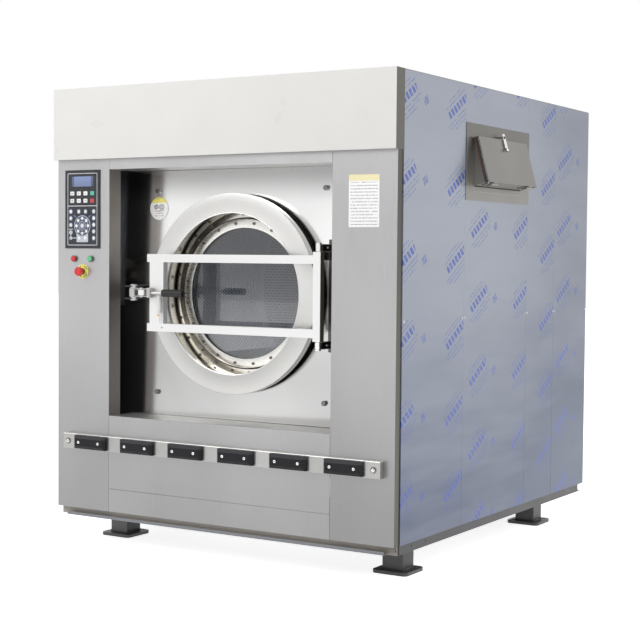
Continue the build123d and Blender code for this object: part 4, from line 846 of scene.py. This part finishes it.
def pane(name, radius, front, back, look, segments=160):
    """A pane: rings from its rim to a small middle ring on both faces, carried round the door's axis."""
    chamfer, eye = 1.2, 0.5
    half = radius * 0.5
    outline = profile([(eye, front), (half, front), (radius - chamfer, front), (radius, front + chamfer),
                       (radius, back - chamfer), (radius - chamfer, back), (half, back), (eye, back)])
    shape = turned_points(outline, segments), capped_faces(len(outline), segments)
    return piece(name, shape, look, "door")


def loop(half_width, half_height, corner, steps=5):
    """A rounded rectangle about the origin: four quarter circles of radius corner joined by straight runs."""
    turn = np.linspace(0, np.pi / 2, steps)
    corner = min(corner, half_width, half_height)
    angle = np.concatenate([turn, turn + np.pi / 2, turn + np.pi, turn + 3 * np.pi / 2])
    side = np.repeat([[1, 1], [-1, 1], [-1, -1], [1, -1]], steps, 0)
    arc = corner * np.stack([np.cos(angle), np.sin(angle)], -1)
    return side * [half_width - corner, half_height - corner] + arc


def levels(rings, heights):
    """The points of flat rings at the given heights."""
    return np.concatenate([np.column_stack([ring, np.full(len(ring), h)]) for ring, h in zip(rings, heights)])


def stack(rings, heights):
    """Rings of the same count of points at the given heights, closed at both ends by one face each."""
    return levels(rings, heights), capped_faces(len(rings), len(rings[0]))


def round_stack(radii, heights, steps):
    """Round rings of the radii at the heights, closed at both ends."""
    return stack([loop(r, r, r, steps) for r in radii], heights)


def disc(radius, height, steps=8):
    """A low round button with a bevelled rim."""
    return round_stack((radius, radius, radius * 0.86), [0, height * 0.6, height], steps)


def pad(width, height, depth, corner=0.001, edge=0.0005, steps=5):
    """A rounded slab: its outline shrinks by edge over a quarter round near the front."""
    t = np.linspace(0, np.pi / 2, 4)
    inset = np.concatenate([[0], edge * (1 - np.cos(t))])
    rise = np.concatenate([[0], depth - edge + edge * np.sin(t)])
    rings = [loop(width / 2 - i, height / 2 - i, max(corner - i, 0.0001), steps) for i in inset]
    return stack(rings, rise)


def head(radius, height, sides=12, socket=0.5, dome=0.5):
    """A screw head: a domed profile turned round its axis, ending in a six-sided socket."""
    outline = [(1, 0), (1, 0.35), (0.93, 0.7), (dome + 0.12, 1), (socket, 1), (socket * 0.9, 0.45)]
    angle = np.arange(sides) * 2 * np.pi / sides
    circle = round_points(sides)
    hexagon = circle * (np.cos(np.pi / 6) / np.cos((angle % (np.pi / 3)) - np.pi / 6))[:, None]
    rings = [(hexagon if r <= socket else circle) * r * radius for r, _ in outline]
    return stack(rings, [h * height for _, h in outline])


def ring_band(radius, width, height, sides=48):
    """A flat ring: a low trapezoid (radius + t, height) carried round its axis."""
    half = width / 2
    radii = (radius - half, radius - half * 0.8, radius + half * 0.8, radius + half)
    return levels([round_points(sides) * r for r in radii], (0, height, height, 0)), ring_faces(4, sides)


def cable(line, radius, sides=6):
    """A round tube along the line: a circle of the radius, square to the line at each point, closed at both
    ends. The circle starts from a direction that no line here runs along."""
    way = np.gradient(line, axis=0)
    way /= np.linalg.norm(way, axis=1)[:, None]
    side = np.cross(way, [0.0123, 0.9, 0.31])
    side /= np.linalg.norm(side, axis=1)[:, None]
    other = np.cross(way, side)
    circle = round_points(sides)
    ring = side[:, None] * circle[None, :, :1] + other[:, None] * circle[None, :, 1:]
    return (line[:, None] + radius * ring).reshape(-1, 3), capped_faces(len(line), sides)


def rotated(shape, degrees):
    """A shape turned about its third axis."""
    cos, sin = math.cos(math.radians(degrees)), math.sin(math.radians(degrees))
    return shape[0] @ np.array([[cos, sin, 0], [-sin, cos, 0], [0, 0, 1]]), shape[1]


def placed(shape, places, way):
    """Copies of a shape at the places, its third axis along the way's third row."""
    points, faces = shape
    places = np.asarray(places, float).reshape(-1, 3)
    every = (places[:, None] + (points @ way)[None]).reshape(-1, 3)
    count = len(points)
    return every, [tuple(i + k * count for i in f) for k in range(len(places)) for f in faces]


def joined(shapes):
    """Several (points, faces) as one."""
    points, faces, start = [], [], 0
    for p, f in shapes:
        points.append(p)
        faces += [tuple(i + start for i in face) for face in f]
        start += len(p)
    return np.concatenate(points), faces


def softened(node, look, width=None, segments=2, across=()):
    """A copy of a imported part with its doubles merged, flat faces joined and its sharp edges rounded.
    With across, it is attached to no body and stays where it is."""
    mesh = frame["nodes"][node].data.copy()
    work = bmesh.new()
    work.from_mesh(mesh)
    bmesh.ops.remove_doubles(work, verts=work.verts, dist=0.00002)
    bmesh.ops.dissolve_limit(work, angle_limit=FLAT_ANGLE, verts=work.verts, edges=work.edges)
    work.to_mesh(mesh)
    work.free()
    mesh.materials.clear()
    mesh.materials.append(finish(look))
    mesh.polygons.foreach_set("material_index", np.zeros(len(mesh.polygons), np.int32))
    shade_smooth(mesh, SHARP_ANGLE)
    made = linked(node + "_finished", mesh)
    bevel = made.modifiers.new("edges", "BEVEL")
    bevel.width = width or sizes().edge
    bevel.segments = segments
    bevel.limit_method = "ANGLE"
    bevel.angle_limit = BEVEL_ANGLE
    normals = made.modifiers.new("normals", "WEIGHTED_NORMAL")
    normals.weight = 100
    normals.keep_sharp = True
    if across:
        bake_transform(made)
    else:
        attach(made, BODIES[node])
    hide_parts(node)


# Steps that build the washer
class WASHER_OT_studio(bpy.types.Operator):
    """Camera at the photograph's angle, soft lamps, white surroundings and a pale floor."""

    bl_idname = "washer.studio"
    bl_label = "Studio"

    def execute(self, context):
        context.scene.view_settings.view_transform = "Standard"
        self.camera(context.scene)
        self.surroundings(context.scene)
        for lamp in LAMPS:
            self.lamp(*lamp)
        self.floor()
        return {"FINISHED"}

    def camera(self, scene):
        data = bpy.data.cameras.new("camera")
        data.lens, data.sensor_width, data.clip_end = CAMERA_LENS, CAMERA_SENSOR, CAMERA_REACH
        data.sensor_fit = "HORIZONTAL"
        yaw, pitch, roll = CAMERA_TURN
        ahead = Vector((-math.sin(yaw) * math.cos(pitch), math.cos(yaw) * math.cos(pitch), -math.sin(pitch)))
        right = Vector((math.cos(yaw), math.sin(yaw), 0.0))
        up = right.cross(ahead)
        turn = Matrix((math.cos(roll) * right + math.sin(roll) * up,
                       -math.sin(roll) * right + math.cos(roll) * up, -ahead)).transposed()
        camera = linked("camera", data)
        camera.matrix_world = Matrix.Translation(CAMERA_PLACE) @ turn.to_4x4()
        scene.camera = camera

    def surroundings(self, scene):
        scene.world = bpy.data.worlds.new("surroundings")
        scene.world.use_nodes = True
        tree = scene.world.node_tree
        tree.nodes.clear()
        seen = rays(tree, "Is Camera Ray", "Is Glossy Ray", "Is Transmission Ray")
        back = add(tree, "ShaderNodeBackground", Color=(1.0, 1.0, 1.0, 1.0))
        feed(tree, back.inputs["Strength"], seen * (1 - AMBIENT) + AMBIENT)
        tree.links.new(back.outputs[0], add(tree, "ShaderNodeOutputWorld").inputs["Surface"])

    def lamp(self, name, where, target, size, watts, spread):
        data = bpy.data.lights.new(name, "AREA")
        data.shape, data.size, data.energy, data.spread = "SQUARE", size, watts, math.radians(spread)
        lamp = linked(name, data)
        lamp.location = where
        lamp.rotation_euler = (Vector(target) - Vector(where)).to_track_quat("-Z", "Y").to_euler()

    def floor(self):
        """A flat grid, x and y from -30 to 30 m at z = 0."""
        span = np.linspace(-FLOOR_REACH, FLOOR_REACH, 7)
        x, y = np.meshgrid(span, span)
        mesh = bpy.data.meshes.new("floor")
        points = np.stack([x.ravel(), y.ravel(), np.zeros(x.size)], -1)
        mesh.from_pydata(points.tolist(), [], grid_faces(7, 7, closed=False))
        linked("floor", mesh)
        look = Look("pale_floor")
        look["Base Color"] = look.ramp(look.noise(0.4), (0.86, 0.86, 0.86), (0.90, 0.90, 0.90))
        look["Roughness"] = 0.9
        look["Specular IOR Level"] = 0.0
        look["Emission Color"] = (1, 1, 1)
        look["Emission Strength"] = rays(look.tree, "Is Camera Ray", "Is Glossy Ray") * FLOOR_GLOW
        mesh.materials.append(look.material)


class WASHER_OT_finishes(bpy.types.Operator):
    """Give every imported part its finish."""

    bl_idname = "washer.finishes"
    bl_label = "Finishes"

    def execute(self, context):
        for node, item in frame["nodes"].items():
            material = finish(OWN_LOOKS.get(node, SLOTS[node]))
            for slot in item.material_slots:
                slot.material = material
            if not item.material_slots:
                item.data.materials.append(material)
        return {"FINISHED"}


class WASHER_OT_sheets(bpy.types.Operator):
    """Folded sheets, base rails and feet with rounded edges, and the welds on the feet."""

    bl_idname = "washer.sheets"
    bl_label = "Sheets and rails"

    def execute(self, context):
        for node, width in (("pillar_left", None), ("pillar_right", None), ("header_panel", 0.002),
                            ("front_panels", 0.0009), ("top_panel", 0.0008), ("left_panels", 0.0006),
                            ("right_panels", 0.0006), ("hopper_panel", 0.0006), ("rear_panel", 0.0006),
                            ("base_rails", None)):
            softened(node, OWN_LOOKS.get(node, SLOTS[node]), width)
        softened("feet", "foot_enamel", 0.0025)
        self.welds()
        return {"FINISHED"}

    def welds(self):
        """Weld beads round the posts of the feet: a square of 96 mm with ripples, h = 0.8 sin(90 t) mm."""
        half_post, half_plate, plate_top = 0.0478, 0.0825, 0.016
        steps, sides = 120, 6
        corners = np.array([(-1, -1), (1, -1), (1, 1), (-1, 1), (-1, -1)]) * half_post
        t = np.linspace(0, 4, steps + 1)[:-1]
        square = np.stack([np.interp(t, range(5), corners[:, i]) for i in (0, 1)], -1)
        turn = np.arange(sides) * np.pi / 3
        thick = 0.0042 + 0.0008 * np.sin(90 * t)
        away = square / np.abs(square).max(axis=1)[:, None]
        ring = thick[:, None] * np.cos(turn)
        points = np.concatenate([(square[:, None] + away[:, None] * ring[:, :, None]),
                                 (thick[:, None] * np.sin(turn))[:, :, None]], -1).reshape(-1, 3)
        low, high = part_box("feet")
        middle, half = (low + high) / 2, (high - low) / 2
        places = [(middle.x + a * (half.x - half_plate), middle.y + b * (half.y - half_plate), plate_top)
                  for a in (-1, 1) for b in (-1, 1)]
        fitted("foot_welds", (points, ring_faces(steps, sides)), places, np.eye(3), "foot_enamel")


class WASHER_OT_side_screws(bpy.types.Operator):
    """Screws along the joints of the side sheets, on the base and round the rear sheet."""

    bl_idname = "washer.side_screws"
    bl_label = "Side screws"

    def execute(self, context):
        radius, beside_seam, row_z = sizes().panel_screw, 12, 1056
        rows = [58] + [seam + side * beside_seam for seam in SEAMS for side in (-1, 1)] + [1990]
        places = [(SIDE_X, FRONT + y * MM, row_z * MM) for y in rows]
        raised = head(radius, 0.0024)
        fitted("right_side_screws", raised, places, SIDE_WAY, "white_plastic")
        fitted("left_side_screws", head(radius, 0.0012), [(-x, y, z) for x, y, z in places], LEFT_WAY, "zinc")
        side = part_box("base_rails")[1].x
        places = [(side, FRONT + y, 0.150) for y in (0.016, 0.150, 0.272)]
        fitted("base_screws", head(0.006, 0.0010), places, SIDE_WAY, "black_steel")
        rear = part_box("rear_panel")[1].y
        places = [(x, rear, z) for x in (-0.862, 0.862) for z in np.linspace(0.30, 1.98, 7)]
        places += [(x, rear, z) for x in (-0.5, 0.0, 0.5) for z in (0.19, 2.03)]
        fitted("rear_screws", raised, places, BACK_WAY, "zinc")
        return {"FINISHED"}


class WASHER_OT_bumpers(bpy.types.Operator):
    """Bumper rail, its end bolts, the rubber pads and the screws in their recesses."""

    bl_idname = "washer.bumpers"
    bl_label = "Bumpers"

    def execute(self, context):
        softened("bumper_rail", "rail_steel", 0.0015)
        softened("bumper_pads", "pad_rubber", 0.0015)
        radius, end_gap = sizes().rail_bolt, 0.030
        washer = round_stack((radius * 1.7, radius * 1.7, radius * 1.55), [0, 0.001, 0.0015], 6)
        nut = round_stack((radius * 1.15, radius * 1.15, radius), [0.0014, 0.0055, 0.0065], 2)
        end = head(radius * 0.62, 0.0070, 12, 0.45, 0.6)
        bolt = joined([nut, (end[0] + [0, 0, 0.0060], end[1])])
        centre = (BUMPER_LOW.x + BUMPER_HIGH.x) / 2
        reach = (BUMPER_HIGH.x - BUMPER_LOW.x) / 2 - end_gap
        ends = [(centre + side * reach, BUMPER_LOW.y, BUMPER_Z) for side in (-1, 1)]
        fitted("rail_washers", washer, ends, FRONT_WAY, "screw_steel")
        fitted("rail_bolts", bolt, ends, FRONT_WAY, "chrome")
        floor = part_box("bumper_pads")[0].y + 0.0041
        pad_pitch, screw_offset = 0.2625, 0.056
        places = [(centre + (i - 2.5) * pad_pitch + side * screw_offset, floor, BUMPER_Z)
                  for i in range(6) for side in (-1, 1)]
        fitted("pad_screws", ring_band(0.0046, 0.0034, 0.0030, 20), places, FRONT_WAY, "chrome")
        fitted("pad_screw_sockets", disc(0.0040, 0.0012, 5), places, FRONT_WAY, "screw_steel")
        return {"FINISHED"}


class WASHER_OT_control_panel(bpy.types.Operator):
    """Control panel: screen, keys, a ring of lamps round a dial, lamp columns and pale lines."""

    bl_idname = "washer.control_panel"
    bl_label = "Control panel"

    def execute(self, context):
        softened("control_bezel", "black_plastic")
        self.put("panel_screen", pad(0.1262, 0.0452, 0.0006, 0.002, 0.0003), [(0, 51)], "screen", -0.0009)
        self.keys()
        self.lines()
        self.lamps()
        self.dial()
        self.valve()
        return {"FINISHED"}

    def put(self, name, shape, places, look, lift=0.0):
        """Copies of a shape on the floor of the panel, at millimetres from its middle and below its top."""
        floor = BEZEL_LOW.y + 0.0015
        middle = (BEZEL_LOW.x + BEZEL_HIGH.x) / 2
        spots = [(middle + x * MM, floor - lift, BEZEL_HIGH.z - down * MM) for x, down in places]
        fitted(name, shape, spots, FRONT_WAY, look)

    def keys(self):
        pitch, rows, cap_height = 38.6, (104, 137), 0.0012
        keys = [(-1 + (i - 1.5) * pitch, down) for down in rows for i in range(4)]
        green, red = keys[3], keys[7]
        white = [key for key in keys if key not in (green, red)]
        cap = pad(0.0225, 0.0180, cap_height, 0.003)
        self.put("panel_keys", cap, white, "key_white")
        self.put("panel_key_green", cap, [green], "key_green")
        self.put("panel_key_red", cap, [red], "key_red")
        bar, tick = pad(0.0085, 0.0014, 0.0003, 0.0004, 0.0001), pad(0.0014, 0.0070, 0.0003, 0.0004, 0.0001)
        self.put("panel_key_bars", bar, white, "black_plastic", cap_height)
        self.put("panel_key_ticks", tick, [white[i] for i in (0, 1, 3, 4)], "black_plastic", cap_height)

    def lines(self):
        outer, inner, high = loop(0.0868, 0.1615, 0.006, 6), loop(0.0836, 0.1583, 0.003, 6), 0.0005
        border = levels((outer, outer, inner, inner), (0, high, high, 0)), ring_faces(4, len(outer))
        self.put("panel_border", border, [(0, 175)], "key_line")
        self.put("panel_divider", pad(0.168, 0.0036, 0.0005, 0.0008, 0.0002), [(0, 160)], "key_line")
        for side in (-1, 1):
            tick = rotated(pad(0.0032, 0.0145, 0.0005, 0.0008, 0.0002, 3), -45 * side)
            self.put(f"panel_tick_{side + 1}", tick, [(side * 42.5, 206.5)], "key_blue")

    def lamps(self):
        places = [(-67.5, 185 + 30 * i) for i in range(3)] + [(66.5, 185 + 29.7 * i) for i in range(5)]
        places += [(-20.5, 185), (18.8, 185)]
        self.put("panel_bars", pad(0.0215, 0.0235, 0.0004, 0.002, 0.0001), places, "panel_print")
        self.put("panel_lamp_rims", ring_band(0.0082, 0.0020, 0.0006, 24), places, "panel_grey", 0.0004)
        self.put("panel_lamps", disc(0.0070, 0.0009, 6), places, "key_white", 0.0004)

    def dial(self):
        centre, lamp_circle = (0, 249), 33.5
        self.put("panel_plinth", pad(0.067, 0.038, 0.0005, 0.003, 0.0002), [(0, 303)], "panel_grey")
        self.put("panel_plinth_lamps", disc(0.0070, 0.0009, 6), [(-17, 303.5), (17, 303.5)], "key_white",
                 0.0005)
        self.put("panel_dial", disc(0.0470, 0.0008, 14), [centre], "panel_print", 0.0001)
        self.put("panel_dial_rims", ring_band(0.0455, 0.0034, 0.0013), [centre], "panel_grey", 0.0001)
        self.put("panel_dial_inner", ring_band(0.0195, 0.0030, 0.0013), [centre], "panel_grey", 0.0001)
        lamps, marks = ([(lamp_circle * math.sin(a), centre[1] + lamp_circle * math.cos(a))
                         for a in np.arange(8) * np.pi / 4 + start] for start in (0, np.pi / 8))
        self.put("panel_dial_lamps", disc(0.0072, 0.0011, 6), lamps, "key_white", 0.0008)
        self.put("panel_dial_marks", disc(0.0026, 0.0003, 4), marks, "panel_grey", 0.0009)
        self.put("panel_dial_hub", disc(0.0085, 0.0012), [centre], "key_white", 0.0008)
        self.put("panel_hub_rim", ring_band(0.0115, 0.0024, 0.0007), [centre], "panel_grey", 0.0009)

    def valve(self):
        """A plain figure of a pipe, a body and a stem, at the foot of the left lamps."""
        parts = ((-67.5, 264, 0.027, 0.004), (-67.5, 278, 0.021, 0.018), (-67.5, 303.5, 0.016, 0.016),
                 (-50, 303.5, 0.030, 0.004))
        for number, (x, down, wide, high) in enumerate(parts):
            shape = pad(wide, high, 0.0005 + number * 0.0001, min(wide, high) / 2.2, 0.0002)
            self.put(f"panel_valve_{number}", shape, [(x, down)], "panel_grey")
        self.put("panel_valve_stem", pad(0.004, 0.012, 0.0005, 0.001, 0.0002), [(-67.5, 291)], "panel_grey")


class WASHER_OT_buttons(bpy.types.Operator):
    """Start and stop buttons in their rings, and the mushroom on its yellow disc."""

    bl_idname = "washer.buttons"
    bl_label = "Buttons"

    def execute(self, context):
        softened("button_housings", "screw_steel")
        softened("start_button", "green_plastic", 0.0010, 3)
        softened("stop_button", "red_plastic", 0.0010, 3)
        softened("estop_mushroom", "red_plastic", 0.0008)
        softened("estop_plate", "estop_disc", 0.0004)
        return {"FINISHED"}


class WASHER_OT_cards(bpy.types.Operator):
    """Generic notice card on the right pillar and round tag on the tub plate, with rules in place of
    writing."""

    bl_idname = "washer.cards"
    bl_label = "Card and tag"

    def execute(self, context):
        card = printed_card("notice_card", 1.612, 78.0, 0.661, 0.786, 1.437, (0.87, 0.80, 0.47))
        fitted("notice_card", pad(0.139, 0.208, 0.0004, 0.001, 0.0001), [at(723.5, 0, 1533)], FRONT_WAY, card)
        self.tag()
        return {"FINISHED"}

    def tag(self):
        """A round paper tag under the plate's bolt: two plain rings, three strokes and three dots on it, and
        its wire, an oval of 27 by 49 mm."""
        x, z, face = -436.0, 1519.0, 178.6
        print_face, thin = face - 0.7, 0.0002
        radius = sizes().hang_tag
        middle_x, middle_z = x * MM, z * MM
        paper = printed_card("tag_card", middle_z + 0.026, 90.0, middle_x - 0.026, middle_x + 0.026,
                             middle_z - 0.034, "warning_yellow")
        paper_shape = round_stack((radius, radius, radius - 0.0003), [0, 0.0006, 0.0008], 14)
        fitted("hang_tag", paper_shape, [at(x, face, z)], FRONT_WAY, paper, "suspended_tub")
        drawn = [placed(ring_band(r, 0.0026, thin, 28), [at(x + 15, print_face, z + 7)], FRONT_WAY)
                 for r in (0.0125, 0.0060)]
        stroke = rotated(pad(0.024, 0.0034, thin, 0.0015, 0.0001, 3), 32)
        drawn += [placed(stroke, [at(x + dx, print_face, z + dz)], FRONT_WAY)
                  for dx, dz in ((-16, 8), (-20, 14), (-12, 2))]
        piece("tag_marks", joined(drawn), "black_plastic", "suspended_tub")
        dots = [at(x + dx, print_face, z - 13) for dx in (-12, -2, 8)]
        fitted("tag_dots", pad(0.0052, 0.0030, thin, 0.001, 0.0001, 3), dots, FRONT_WAY, "red_plastic",
               "suspended_tub")
        angle = np.linspace(0, 2 * np.pi, 33)
        line = at(-439, 176, 1586) + np.stack([0.0135 * np.sin(angle), 0 * angle, 0.0245 * np.cos(angle)], -1)
        piece("tag_wire", cable(line, 0.0008), "zinc", "suspended_tub")


class WASHER_OT_door(bpy.types.Operator):
    """Door: dished ring, its gasket, the clamp ring with its bolts, the seal and the glass."""

    bl_idname = "washer.door"
    bl_label = "Door"

    def execute(self, context):
        ring = turned("door_ring_face", [(348.5, 115), (433, 115), (433, 150), (429, 150), (429, 120),
                                         (348.5, 120)], 0.002, "ring_steel")
        turned("door_dish", [(362, 119), (366, 119), (366, 241), (330, 241), (330, 252), (286, 252),
                             (286, 247), (326, 247), (326, 236), (362, 236)], 0.0015, "dish_steel")
        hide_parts("door_ring")
        turned("dish_edge", [(347.2, 115.6), (348.9, 115.1), (350.2, 115.4), (350.2, 120.2), (347.2, 120.2)],
               0.0004, "chrome")
        clamp = turned("clamp_ring_face", [(286, 221.8), (325, 221.8), (325, 227.8), (286, 227.8)], 0.0012,
                       "clamp_steel")
        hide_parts("clamp_ring")
        turned("dish_bead", [(325.6, 229.5), (331.5, 229.5), (331.5, 236.4), (325.6, 236.4)], 0.0012,
               "seal_rubber", 160)
        gasket = turned("door_bellows", [
            (394, 120.3), (420, 120.3), (420, 129.3), (415, 131), (413, 138), (415, 145), (413, 152),
            (415, 160), (415, 174.7), (410, 179.7), (404, 179.7), (399, 174.7), (399, 160), (401, 152),
            (399, 145), (401, 138), (399, 131), (394, 129.3)], 0.001, "seal_rubber", 160)
        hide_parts("door_gasket")
        glass = pane("glass_pane", 300.9, 231.4, 243.4, "glass")
        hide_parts("door_glass")
        softened("clamp_bolts", "screw_steel", 0.0010)
        circle, count = 0.3465, 24
        angle = (np.arange(count) + 0.2) * 2 * np.pi / count
        places = [(circle * math.cos(a), FRONT + 0.236, DOOR_Z + circle * math.sin(a)) for a in angle]
        fitted("dish_screws", head(sizes().ring_screw, 0.0045, 14, 0.45), places, FRONT_WAY, "screw_steel",
               "door")
        return {"FINISHED"}


class WASHER_OT_tub_plate(bpy.types.Operator):
    """Polished plate round the tub's mouth, with its bolts."""

    bl_idname = "washer.tub_plate"
    bl_label = "Tub plate"

    def execute(self, context):
        softened("tub_front_plate", "tub_plate")
        return {"FINISHED"}


class WASHER_OT_yoke(bpy.types.Operator):
    """Yoke, hinge arms and pins, lock lever with its ribbed grip, rollers, keeper and sensor."""

    bl_idname = "washer.yoke"
    bl_label = "Yoke and lock"

    def execute(self, context):
        softened("yoke", "yoke_steel", 0.0018, 3)
        for node, look, width in (
                ("hinge_arms", "hinge_steel", 0.0015), ("hinge_pins", "chrome", 0.0010),
                ("lock_lever", "lever_steel", None), ("lock_rollers", "lever_steel", 0.0015),
                ("lever_grip", "grip_rubber", 0.0004), ("lock_keeper", "black_steel", None),
                ("lock_sensor", "white_plastic", None)):
            softened(node, look, width)
        self.hinge()
        low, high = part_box("lock_sensor")
        lamp = round_stack((0.0048, 0.0048, 0.0036), [0, 0.0016, 0.0026], 5)
        spot = ((low.x + high.x) / 2, low.y + 0.0004, low.z + 0.036)
        fitted("sensor_lamp", lamp, [spot], FRONT_WAY, "lamp_yellow", "door")
        return {"FINISHED"}

    def hinge(self):
        """Bolts in the feet of the hinge arms, screws in their sides, and the plate between them."""
        foot_x, side_x, arm_rows = 0.494, 0.507, (1.347, 0.947)
        places = [(foot_x + dx, FRONT + 0.1715, z) for z in arm_rows for dx in (-0.022, 0.022)]
        fitted("hinge_foot_bolts", head(0.0085, 0.0055, 6, 0.3, 0.7), places, FRONT_WAY, "chrome",
               "suspended_tub")
        places = [(side_x, FRONT + y, z) for z in arm_rows for y in (0.085, 0.120)]
        fitted("hinge_screws", head(0.0058, 0.0022, 12, 0.4), places, SIDE_WAY, "chrome", "suspended_tub")
        fitted("hinge_plate", pad(0.074, 0.400, 0.002, 0.006, 0.0006), [at(492, 179.8, 1147)], FRONT_WAY,
               "hinge_plate", "suspended_tub")


class WASHER_OT_hopper(bpy.types.Operator):
    """Powder hopper: frame plate, duct, lid, gasket and latch."""

    bl_idname = "washer.hopper"
    bl_label = "Powder hopper"

    def execute(self, context):
        softened("hopper_frame", "bare_steel", 0.0010)
        softened("hopper_box", "bare_steel", 0.0008)
        softened("hopper_lid", "lid_sheet", 0.0010)
        self.lid_lines()
        softened("lid_latch", "chrome", 0.0007)
        softened("lid_gasket", "red_rubber", 0.0008)
        return {"FINISHED"}

    def lid_lines(self):
        """A painted highlight along the edge of the lid's folds, as a thin bright rod, and the line of its
        gasket, on both sides, along its lean.
        """
        lean, gasket_depth, end_gap, inset = math.radians(15), 0.0165, 0.006, 0.0008
        low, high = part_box("hopper_lid")
        rise = high.z - low.z - 2 * end_gap
        foot = np.array([high.x - 0.0030, low.y + inset, low.z + end_gap])
        top = foot + [-rise * math.tan(lean), 0, rise]
        inward = -gasket_depth * np.array([math.cos(lean), 0, math.sin(lean)])
        for name, shift, radius, look, slot in (
                # Painted highlight: a bright rod along the edge of the fold.
                ("lid_edge_highlight", 0, 0.0011, "clamp_steel", "chrome"),
                ("lid_seal_line", inward, 0.0014, "red_rubber", "red_rubber")):
            sides = [cable(np.linspace(foot, top, 12) + shift + [0, y, 0], radius)
                     for y in (0, high.y - low.y - 2 * inset)]
            piece(name, joined(sides), look, "lid")


class WASHER_OT_machinery(bpy.types.Operator):
    """Inside and rear parts with worked edges. The bellows and the hose are attached to no body."""

    bl_idname = "washer.machinery"
    bl_label = "Machinery"

    def execute(self, context):
        for node, look, width in (
                ("tub_cradle", "frame_paint", 0.0015), ("electric_box", "frame_paint", 0.0015),
                ("inner_frame", "frame_paint", 0.0015), ("bearing_housing", "cast", 0.003),
                ("drum_pulley", "cast", 0.002), ("drum_shell", "drum", 0.0015),
                ("drum_lifters", "polished_steel", 0.003), ("supply_inlets", "brass_pipe", 0.001)):
            softened(node, look, width)
        softened("suspension_springs", "black_rubber", 0.003, across=("cabinet", "suspended_tub"))
        softened("filler_hose", "black_rubber", 0.001, across=("suspended_tub", "cabinet"))
        return {"FINISHED"}


OPERATORS = (WASHER_OT_studio, WASHER_OT_finishes, WASHER_OT_sheets, WASHER_OT_side_screws, WASHER_OT_bumpers,
             WASHER_OT_control_panel, WASHER_OT_buttons, WASHER_OT_cards, WASHER_OT_tub_plate, WASHER_OT_door,
             WASHER_OT_yoke, WASHER_OT_hopper, WASHER_OT_machinery)


class WASHER_PT_panel(bpy.types.Panel):
    """Sizes, colours and the steps that build the washer."""

    bl_idname = "WASHER_PT_panel"
    bl_label = "Washer extractor"
    bl_space_type = "VIEW_3D"
    bl_region_type = "UI"
    bl_category = "Washer"

    def draw(self, context):
        layout = self.layout
        for group in (context.scene.washer_colours, context.scene.washer_sizes):
            column = layout.column()
            for name in type(group).__annotations__:
                column.prop(group, name)
        for operator in OPERATORS:
            layout.operator(operator.bl_idname)


CLASSES = (WasherColours, WasherSizes) + OPERATORS + (WASHER_PT_panel,)


def register():
    for item in CLASSES:
        bpy.utils.register_class(item)
    bpy.types.Scene.washer_colours = bpy.props.PointerProperty(type=WasherColours)
    bpy.types.Scene.washer_sizes = bpy.props.PointerProperty(type=WasherSizes)


def unregister():
    del bpy.types.Scene.washer_sizes
    del bpy.types.Scene.washer_colours
    for item in reversed(CLASSES):
        bpy.utils.unregister_class(item)


def main():
    register()
    for operator in OPERATORS:
        group, name = operator.bl_idname.split(".")
        getattr(getattr(bpy.ops, group), name)()


if __name__ == "__main__":
    main()
